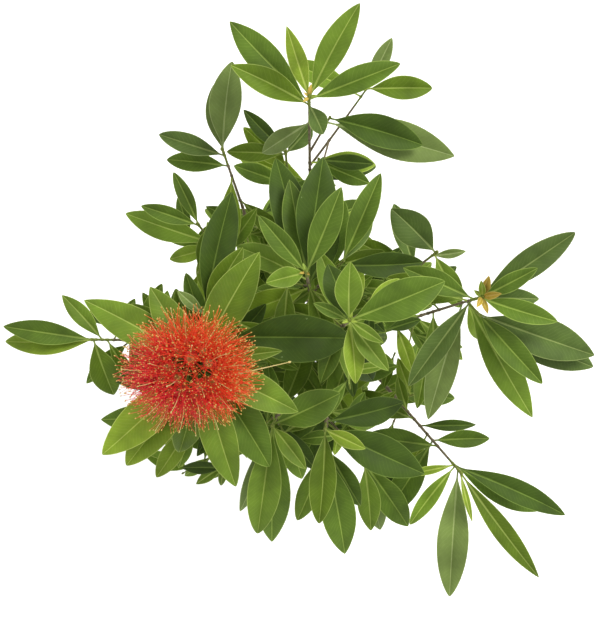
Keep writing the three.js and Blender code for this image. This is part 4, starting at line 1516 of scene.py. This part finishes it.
def leaf_material(name, skin, veins, vein_share, gloss):
    """A leathery leaf surface that follows the blade's own places."""
    material, tree, shader = new_material(name)
    blade = put(tree, "ShaderNodeAttribute", attribute_name="blade").outputs["Vector"]
    given = {"Blade": blade, "Skin": skin, "Veins": veins, "Vein Share": vein_share}
    leaf = put(tree, "ShaderNodeGroup", given, node_tree=leaf_group).outputs
    normal = bumps(tree, leaf["Height"], *LEAF_SKIN["bump"])
    surface = {"Base Color": leaf["Color"], "Roughness": leaf["Roughness"], "Normal": normal}
    fill(tree, shader, surface | {"Specular IOR Level": gloss})
    return material


leaf_materials = []
for letter, tone in TONES.items():
    skin, veins = tone["skin"], tone["veins"]
    leaf_materials.append(leaf_material(f"vein_{letter}", veins, veins, vein_share=0.0, gloss=0.2))
    leaf_materials.append(leaf_material(f"leaf_{letter}", skin, veins, vein_share=0.4, gloss=0.2))
skin, veins = paint(108, 128, 70), paint(140, 156, 96)
leaf_materials.append(leaf_material("leaf_underside", skin, veins, vein_share=0.6, gloss=0.3))


def tuft_leaves(shoot, tuft):
    """The small new leaves that stand up round a shoot's own bud."""
    draw = shoot["random"]
    bearing = 360 * draw()
    leaves = []
    for tone in tuft["tones"]:
        bearing += OLDER["turn"]
        size = between(tuft["length"], draw())
        rise = between(TUFT["rise"], draw())
        shape = [draw() for _ in range(LEAF["draws"])]
        leaf = make_leaf(shoot["stem"].point(1.0), bearing, size, rise, size * TUFT["width"], shape)
        leaves.append(leaf | {"tone": tone, "stalk_radius": TUFT["stalk_radius"]})
    return leaves


one_leaf_faces, one_leaf_parts = leaf_faces()
for shoot in SHOOTS:
    leaves = list(shoot["placed"])
    if shoot["name"] in TUFTS:
        leaves += tuft_leaves(shoot, TUFTS[shoot["name"]])
    points, blades, faces, slots = [], [], [], []
    points_each = len(STATIONS) * len(STRIPS) + 1
    for number, leaf in enumerate(leaves):
        rings, marks = leaf_rings(leaf)
        points += [rings.reshape(-1, 3), leaf_points(leaf, np.ones(1), np.zeros(1), 0.0)]
        blades += [marks.reshape(-1, 3), [[0.0, leaf["length"], leaf["shade"]]]]
        faces += [tuple(number * points_each + index for index in face) for face in one_leaf_faces]
        first = 2 * list(TONES).index(leaf["tone"])
        slots.append(np.where(one_leaf_parts == UNDER, 2 * len(TONES), first + one_leaf_parts))
    name = "foliage_" + shoot["name"]
    mesh = bpy.data.meshes.new(name + "_leaves")
    mesh.from_pydata((np.concatenate(points) * MM).tolist(), [], faces)
    layer = mesh.attributes.new("blade", "FLOAT_VECTOR", "POINT")
    layer.data.foreach_set("vector", np.concatenate(blades).astype(np.float32).ravel())
    used, places = np.unique(np.concatenate(slots), return_inverse=True)
    for index in used:
        mesh.materials.append(leaf_materials[index])
    mesh.polygons.foreach_set("material_index", places.astype(np.int32))
    mesh.shade_smooth()
    mesh.set_sharp_from_angle(angle=SHARP)
    blades_piece = shown(name + "_leaves", mesh)
    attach(blades_piece, "root")
    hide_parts(name)
